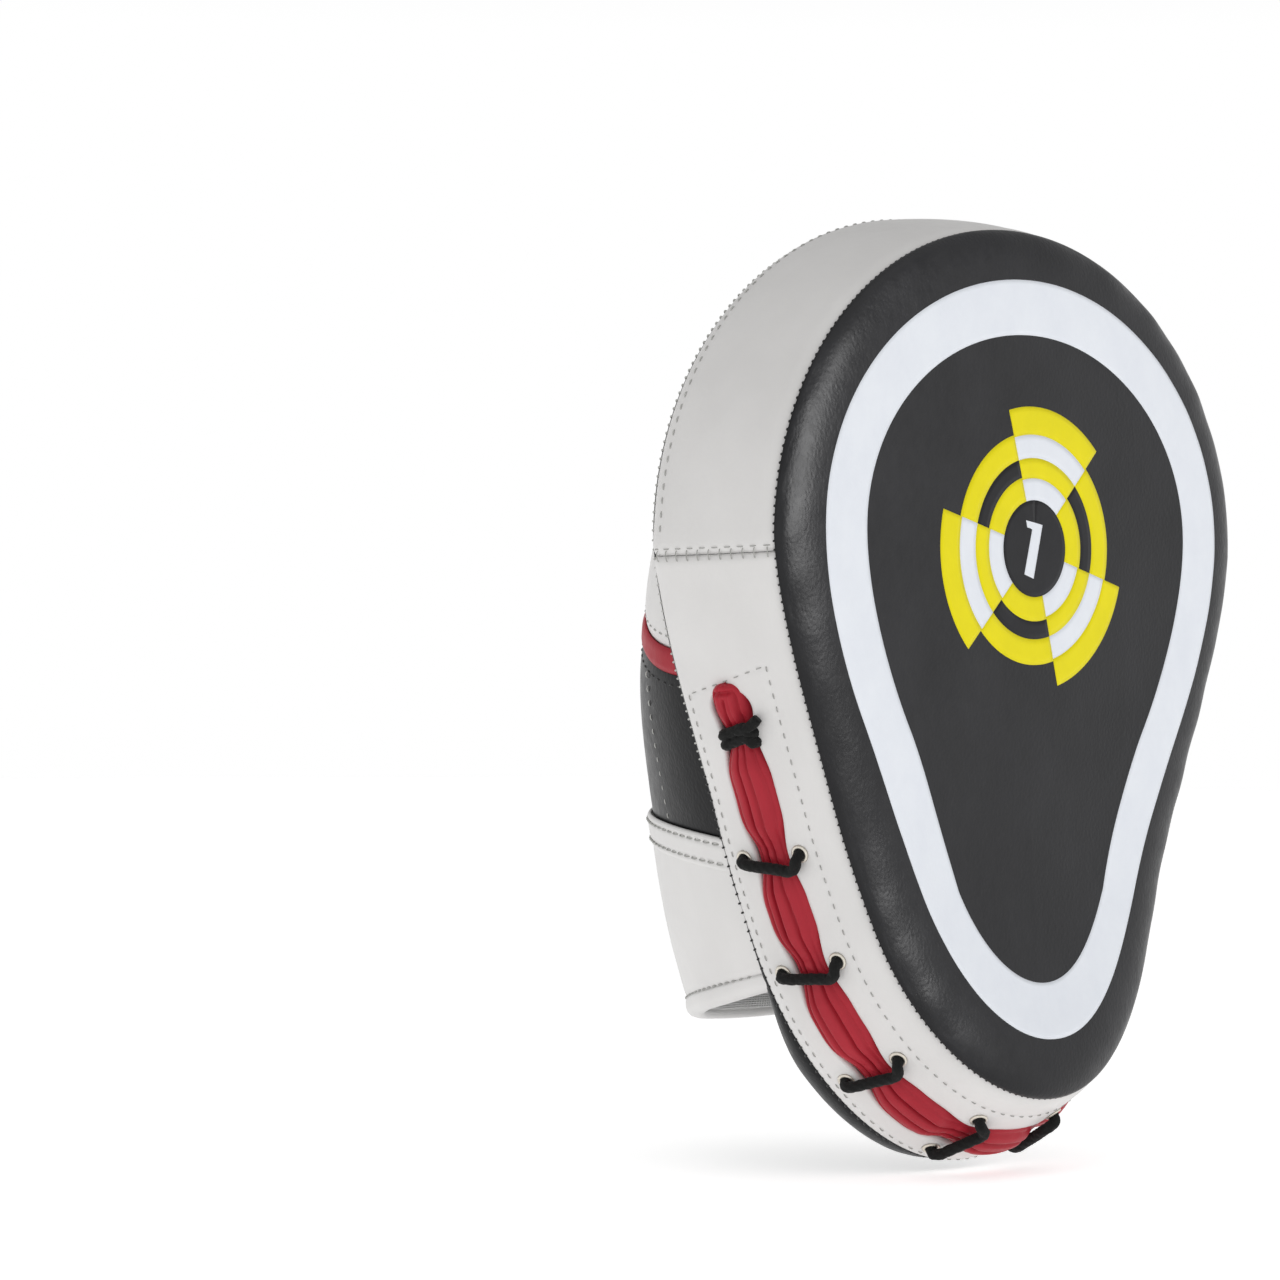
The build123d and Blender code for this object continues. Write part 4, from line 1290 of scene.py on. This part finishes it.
def make_hood_inside():
    """Foam padding of hood and cuff, and the lining."""
    turns = hood_turns()
    bottom = edge_height(turns, CUFF_BOTTOM)
    full = np.full(len(turns), 1.0)
    shell("hood_padding", lambda z: z * 0.0 + 1.9, lambda z: z * 0.0 + 6.3, -71.0 * full,
                    96.0 * full, "foam", "foam", ("hood_foam",))
    shell("cuff_padding", lambda z: z * 0.0 + 0.9, lambda z: lining_inset(z) - 0.6, bottom + 1.5,
                    -73.5 * full, "foam", "foam", ("cuff_foam",), 20)
    shell("pocket_cloth", lining_inset, lambda z: lining_inset(z) + 0.7, bottom + 0.5, 97.0 * full, "lining",
          "lining_fabric", ("pocket_lining",), 70, 0.3)


def make_cuff():
    """White wrist cuff: body, double-stitched top band and folded hem."""
    turns = hood_turns()
    bottom = edge_height(turns, CUFF_BOTTOM)
    top = edge_height(turns, CUFF_TOP)

    def body(turns_, height, share):
        low_line = 0.6 * np.exp(-((height - bottom - 2.6) / 0.8) ** 2)
        soft = 0.45 * ripple(turns_ * 65.0, height, 61, 30.0)
        tug = 0.25 * ripple(turns_ * 65.0, height * 3.0, 64, 11.0) * math.exp(-share * 9.0)
        return -CUFF_OUT - 0.9 * math.sin(math.pi * share) + low_line + soft + tug

    def band(turns_, height, share):
        edge = min(share, 1.0 - share)
        roll = 1.0 - (1.0 - min(edge / 0.16, 1.0)) ** 2
        channel = sum(0.5 * math.exp(-(((share * CUFF_BAND_H) - place) / 0.7) ** 2) for place in (2.4, 8.6))
        return -CUFF_OUT + 0.1 - 1.1 * roll + channel + 0.25 * ripple(turns_ * 65.0, height, 62, 25.0)

    white = ("white_leather", 1.1)
    skin = hood_panel("cuff_leather", bottom, top - 1.0, 60, body, "white", "cuff", *white)
    hood_panel("cuff_top_band", top - CUFF_BAND_H, top, 26, band, "white", "cuff_band", *white)
    section = [(2.4, 0.05), (1.4, -0.4), (-0.3, -0.75), (-1.6, -0.55), (-2.6, 0.3), (-3.0, 1.7), (-3.0, 3.1),
               (-2.6, 4.3), (-1.6, 5.2), (-0.3, 5.5), (1.6, 5.4), (4.0, 5.0)]
    wobble = 0.3 * ripple(turns * 65.0, turns * 0.0, 63, 12.0)
    rows = []
    for rise, inset in section:
        rows.append(hood_point(turns, bottom + rise + wobble, inset - CUFF_OUT - 0.2))
    hem = make_piece("cuff_folded_hem", np.vstack(rows), grid_faces(len(rows), len(turns)), "white",
                     "white_leather", replaces=("cuff_hem",))
    thicken(hem, 0.9)


GRIP_R = 27.0
GRIP_BASE = 3.6            # distance of the grip's foot from the palm side
GRIP_RISE = 13.2
GRIP_Z = -18.0


def make_grip():
    """Domed palm grip inside the pocket."""
    rings = []
    turn = np.linspace(0.0, 2 * math.pi, 72, endpoint=False)
    for share in np.linspace(0.0, 1.0, 20)[:-1]:
        angle = share * math.pi / 2
        radius = GRIP_R * math.cos(angle) ** 0.8
        y = GRIP_BASE + GRIP_RISE * math.sin(angle)
        pucker = 1.0 + 0.012 * np.sin(turn * 12) * (1.0 - share)
        rings.append(np.column_stack([radius * pucker * np.cos(turn), np.full(72, y),
                                      GRIP_Z + radius * pucker * np.sin(turn)]))
    rings.append(np.array([[0.0, GRIP_BASE + GRIP_RISE, GRIP_Z]]))
    piece = rings_piece("palm_grip_leather", rings, "black", "black_leather", replaces=("palm_grip",),
                        flip=True)
    thicken(piece, 1.0)


# ---------------------------------------------------------------------------------------------
# Wrist strap
# ---------------------------------------------------------------------------------------------
def cuff_turn(x, height, inset):
    """Turn over the cuff's back at a place across."""
    half = hermite(np.clip(height, HOOD_Z[0], HOOD_Z[-1]), HOOD_Z, HOOD_HALF) - inset
    return np.arccos(np.clip(-x / half, -1.0, 1.0))


def tape(name, x_low, x_high, z_low, z_high, inset_in, inset_out, material, slot, body, replaces,
         round_low, round_high):
    """A flat strip round the cuff's back with rounded corners at either end."""
    cols = max(8, int((x_high - x_low) / 1.2))
    xs = np.linspace(x_low, x_high, cols)
    mid, half = (z_low + z_high) / 2, (z_high - z_low) / 2

    def reach(radius, away):
        inside = np.clip(1.0 - away / radius, 0.0, 1.0)
        return half - radius * (1.0 - np.sqrt(1.0 - inside ** 2))

    halves = np.minimum(reach(round_low, xs - x_low), reach(round_high, x_high - xs))
    section = []
    rows = 17
    edge = 0.35 * (inset_in - inset_out)
    for share in np.linspace(-1.0, 1.0, rows):
        pull = edge if abs(share) > 0.97 else 0.0
        section.append((share, inset_out + pull))
    for share in np.linspace(1.0, -1.0, rows):
        pull = edge if abs(share) > 0.97 else 0.0
        section.append((share, inset_in - pull))
    section.append(section[0])
    points = []
    for share, inset in section:
        heights = mid + halves * share
        points.append(hood_point(cuff_turn(xs, heights, inset), heights, inset))
    faces = grid_faces(len(points), cols)
    faces.append([row * cols for row in range(len(points) - 1)])
    faces.append([row * cols + cols - 1 for row in range(len(points) - 1)][::-1])
    piece = make_piece(name, np.vstack(points), faces, material, slot, body=body, replaces=replaces)
    merge_close(piece, 0.001)
    bevel = piece.modifiers.new("edge", "BEVEL")
    bevel.width = 0.25 * MM
    bevel.segments = 2
    bevel.limit_method = "ANGLE"
    return piece


STRAP_OUT = -6.15
STRAP_IN = -4.25


def make_strap():
    """The peel-off wrist strap with its hook patch, and the loop patch on the cuff."""
    low, high = STRAP_Z - STRAP_H / 2, STRAP_Z + STRAP_H / 2
    tape("loop_tape", STRAP_TIP_X - 4, 24.0, low, high, -1.5, -2.7, "hook_loop", "hook_and_loop", "mitt",
         ("loop_patch",), 3.0, 3.0)
    tape("hook_tape", -24.0, 10.0, low + 2, high - 2, -3.0, -4.2, "hook_loop", "hook_and_loop", "strap",
         ("hook_patch",), 3.0, 3.0)
    strap = tape("strap_leather", STRAP_TIP_X, ANCHOR_X, low, high, STRAP_IN + 0.02, STRAP_OUT, "black",
                 "black_leather", None, ("wrist_strap", "strap_anchor"), 12.0, 2.0)
    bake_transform(strap)


# ---------------------------------------------------------------------------------------------
# Stitching
# ---------------------------------------------------------------------------------------------
def wall_run(name, distances, depths, material, length, gap, radius):
    """A row of stitches on the wall along a line given by distances and depths."""
    path = wall_surface(distances, depths, 0.05)
    normals = wall_normal(distances, depths)
    starts, ends, normal = run_of_stitches(path, normals, length, gap)
    stitches(name, starts, ends, normal, material, "white_leather", radius, 0.3)


def make_wall_stitches():
    """Grey dashed rectangles on the lower wall, one line on the upper wall, ticks on the cross seams."""
    half_tall = RECT_SLANT * (BACK_STITCH - FRONT_STITCH) / 2
    front_line = np.linspace(-RECT_END - half_tall, RECT_END + half_tall, 900)
    back_line = np.linspace(-RECT_END + half_tall, RECT_END - half_tall, 900)
    wall_run("stitch_front_line", front_line, np.full(900, FRONT_STITCH), "thread_grey", 2.3, 1.9, 0.17)
    wall_run("stitch_back_line", back_line, np.full(900, BACK_STITCH), "thread_grey", 2.3, 1.9, 0.17)
    for side, label in ((1.0, "right"), (-1.0, "left")):
        depths = np.linspace(FRONT_STITCH + 1.5, BACK_STITCH - 1.0, 60)
        ends_at = RECT_END + RECT_SLANT * ((FRONT_STITCH + BACK_STITCH) / 2 - depths)
        wall_run(f"stitch_end_{label}", side * ends_at, depths, "thread_grey", 2.2, 2.0, 0.17)
        depths = np.linspace(2.5, WALL - 2.0, 80)
        wall_run(f"stitch_cross_{label}", np.full(80, side * (WIDEST_AT + 1.9)), depths, "thread_grey",
                 2.2, 2.0, 0.17)
        ticks = np.arange(3.5, WALL - 2.0, 4.0)
        low = wall_surface(np.full(len(ticks), side * (WIDEST_AT - 1.9)), ticks, 0.05)
        high = wall_surface(np.full(len(ticks), side * (WIDEST_AT + 1.7)), ticks, 0.05)
        normal = wall_normal(np.full(len(ticks), side * WIDEST_AT), ticks)
        stitches(f"stitch_ticks_{label}", low, high, normal, "thread_grey", "white_leather", 0.2, 0.3)
    upper = folded(np.linspace(WIDEST_AT + 6.0, SEAM_LENGTH - WIDEST_AT - 6.0, 500))
    wall_run("stitch_upper_line", upper, np.full(500, BACK_STITCH), "thread_white", 2.6, 1.6, 0.24)


BACK_BLACK_END = 142.0     # the back seam's thread is black up to this distance on each side


def seam_stitches(name, depth_a, depth_b, distances, slant, material, slot, grow_a, grow_b):
    """Short stitches across a seam round the pad, between two depths, at signed distances."""
    seam_a, out_a = seam_lookup(distances)
    seam_b, out_b = seam_lookup(distances + slant)
    start = bend(seam_a[:, 0] + out_a[:, 0] * grow_a, seam_a[:, 1] + out_a[:, 1] * grow_a, depth_a)
    end = bend(seam_b[:, 0] + out_b[:, 0] * grow_b, seam_b[:, 1] + out_b[:, 1] * grow_b, depth_b)
    middle = np.full(len(distances), (depth_a + depth_b) / 2)
    out = bend(seam_a[:, 0] + out_a[:, 0], seam_a[:, 1] + out_a[:, 1], middle)
    normal = out - bend(seam_a[:, 0], seam_a[:, 1], middle)
    normal /= np.linalg.norm(normal, axis=1)[:, None]
    along = end - start
    along /= np.linalg.norm(along, axis=1)[:, None]
    normal -= along * (normal * along).sum(axis=1)[:, None]
    normal /= np.linalg.norm(normal, axis=1)[:, None]
    stitches(name, start, end, normal, material, slot, 0.34, 0.45)


def make_seam_stitches():
    """Stitches of the pad's front seam, and of its back seam in black and then white."""
    around = folded(np.linspace(0.0, SEAM_LENGTH, 290, endpoint=False))
    low = np.linspace(-BACK_BLACK_END, BACK_BLACK_END, 110)
    high = folded(np.linspace(BACK_BLACK_END + 3.0, SEAM_LENGTH - BACK_BLACK_END - 3.0, 180))
    back = FLARE * WALL
    seam_stitches("stitch_front_seam", 0.9, 2.2, around, 0.5, "thread_black", "black_leather", -0.15, -1.25)
    seam_stitches("stitch_back_seam_low", WALL - 1.5, WALL + 0.3, low, 0.5, "thread_black",
                  "black_leather", back - 1.75, back - 1.9)
    seam_stitches("stitch_back_seam_high", WALL - 0.9, WALL + 0.6, high, 0.5, "thread_white",
                  "white_leather", back - 2.1, back - 2.5)


def hood_run(name, turns, heights, inset, material, slot, length=2.6, gap=1.4, radius=0.3):
    """A row of stitches on the hood or cuff along turns and heights."""
    path = hood_point(turns, heights, inset)
    a = hood_point(turns + 0.01, heights, inset) - hood_point(turns - 0.01, heights, inset)
    b = hood_point(turns, heights + 0.5, inset) - hood_point(turns, heights - 0.5, inset)
    normal = np.cross(a, b)
    normal /= np.linalg.norm(normal, axis=1)[:, None]
    away = path - (0.0, -10.0, 0.0)
    away[:, 2] = 0.0
    normal *= np.sign((normal * away).sum(axis=1))[:, None]
    starts, ends, normals = run_of_stitches(path, normal, length, gap)
    stitches(name, starts, ends, normals, material, slot, radius, 0.3)


def make_hood_stitches():
    """Stitch lines of the hood's panels, the cuff's band and hem."""
    turns = np.linspace(0.03, math.pi - 0.03, 520)
    bottom = edge_height(turns, CUFF_BOTTOM)
    top = edge_height(turns, CUFF_TOP)
    for label, heights, inset in (
        ("band_low", top - CUFF_BAND_H + 2.4, -2.35), ("band_high", top - CUFF_BAND_H + 8.6, -2.35),
        ("hem", bottom + 2.6, -1.35),
    ):
        hood_run(f"stitch_cuff_{label}", turns, heights, inset, "thread_grey", "white_leather")
    for label, radius, inset in (("low", ARC_INNER - 3.0, 0.45), ("high", ARC_INNER + ARC_WIDTH + 3.0, 0.55)):
        heights = arc_height(turns, radius)
        thread = "thread_black" if label == "low" else "thread_white"
        hood_run(f"stitch_arc_{label}", turns, heights, inset, thread, "black_leather")
    for side, label in ((0.40, "left"), (math.pi - 0.40, "right")):
        turn = np.full(140, side)
        low = float(edge_height(turn[:1], CUFF_TOP)[0])
        high = float(arc_height(turn[:1], ARC_INNER - 3.0)[0])
        hood_run(f"stitch_hood_{label}", turn, np.linspace(low + 1.0, high, 140), -0.25, "thread_white",
                 "black_leather", 2.2, 2.0, 0.24)


make_face()
make_foam()
make_prints()
make_back()
make_walls()
make_tongue()
make_lace()
make_eyelets()
make_hood()
make_hood_inside()
make_cuff()
make_grip()
make_strap()
make_wall_stitches()
make_seam_stitches()
make_hood_stitches()
add_camera()
add_studio()
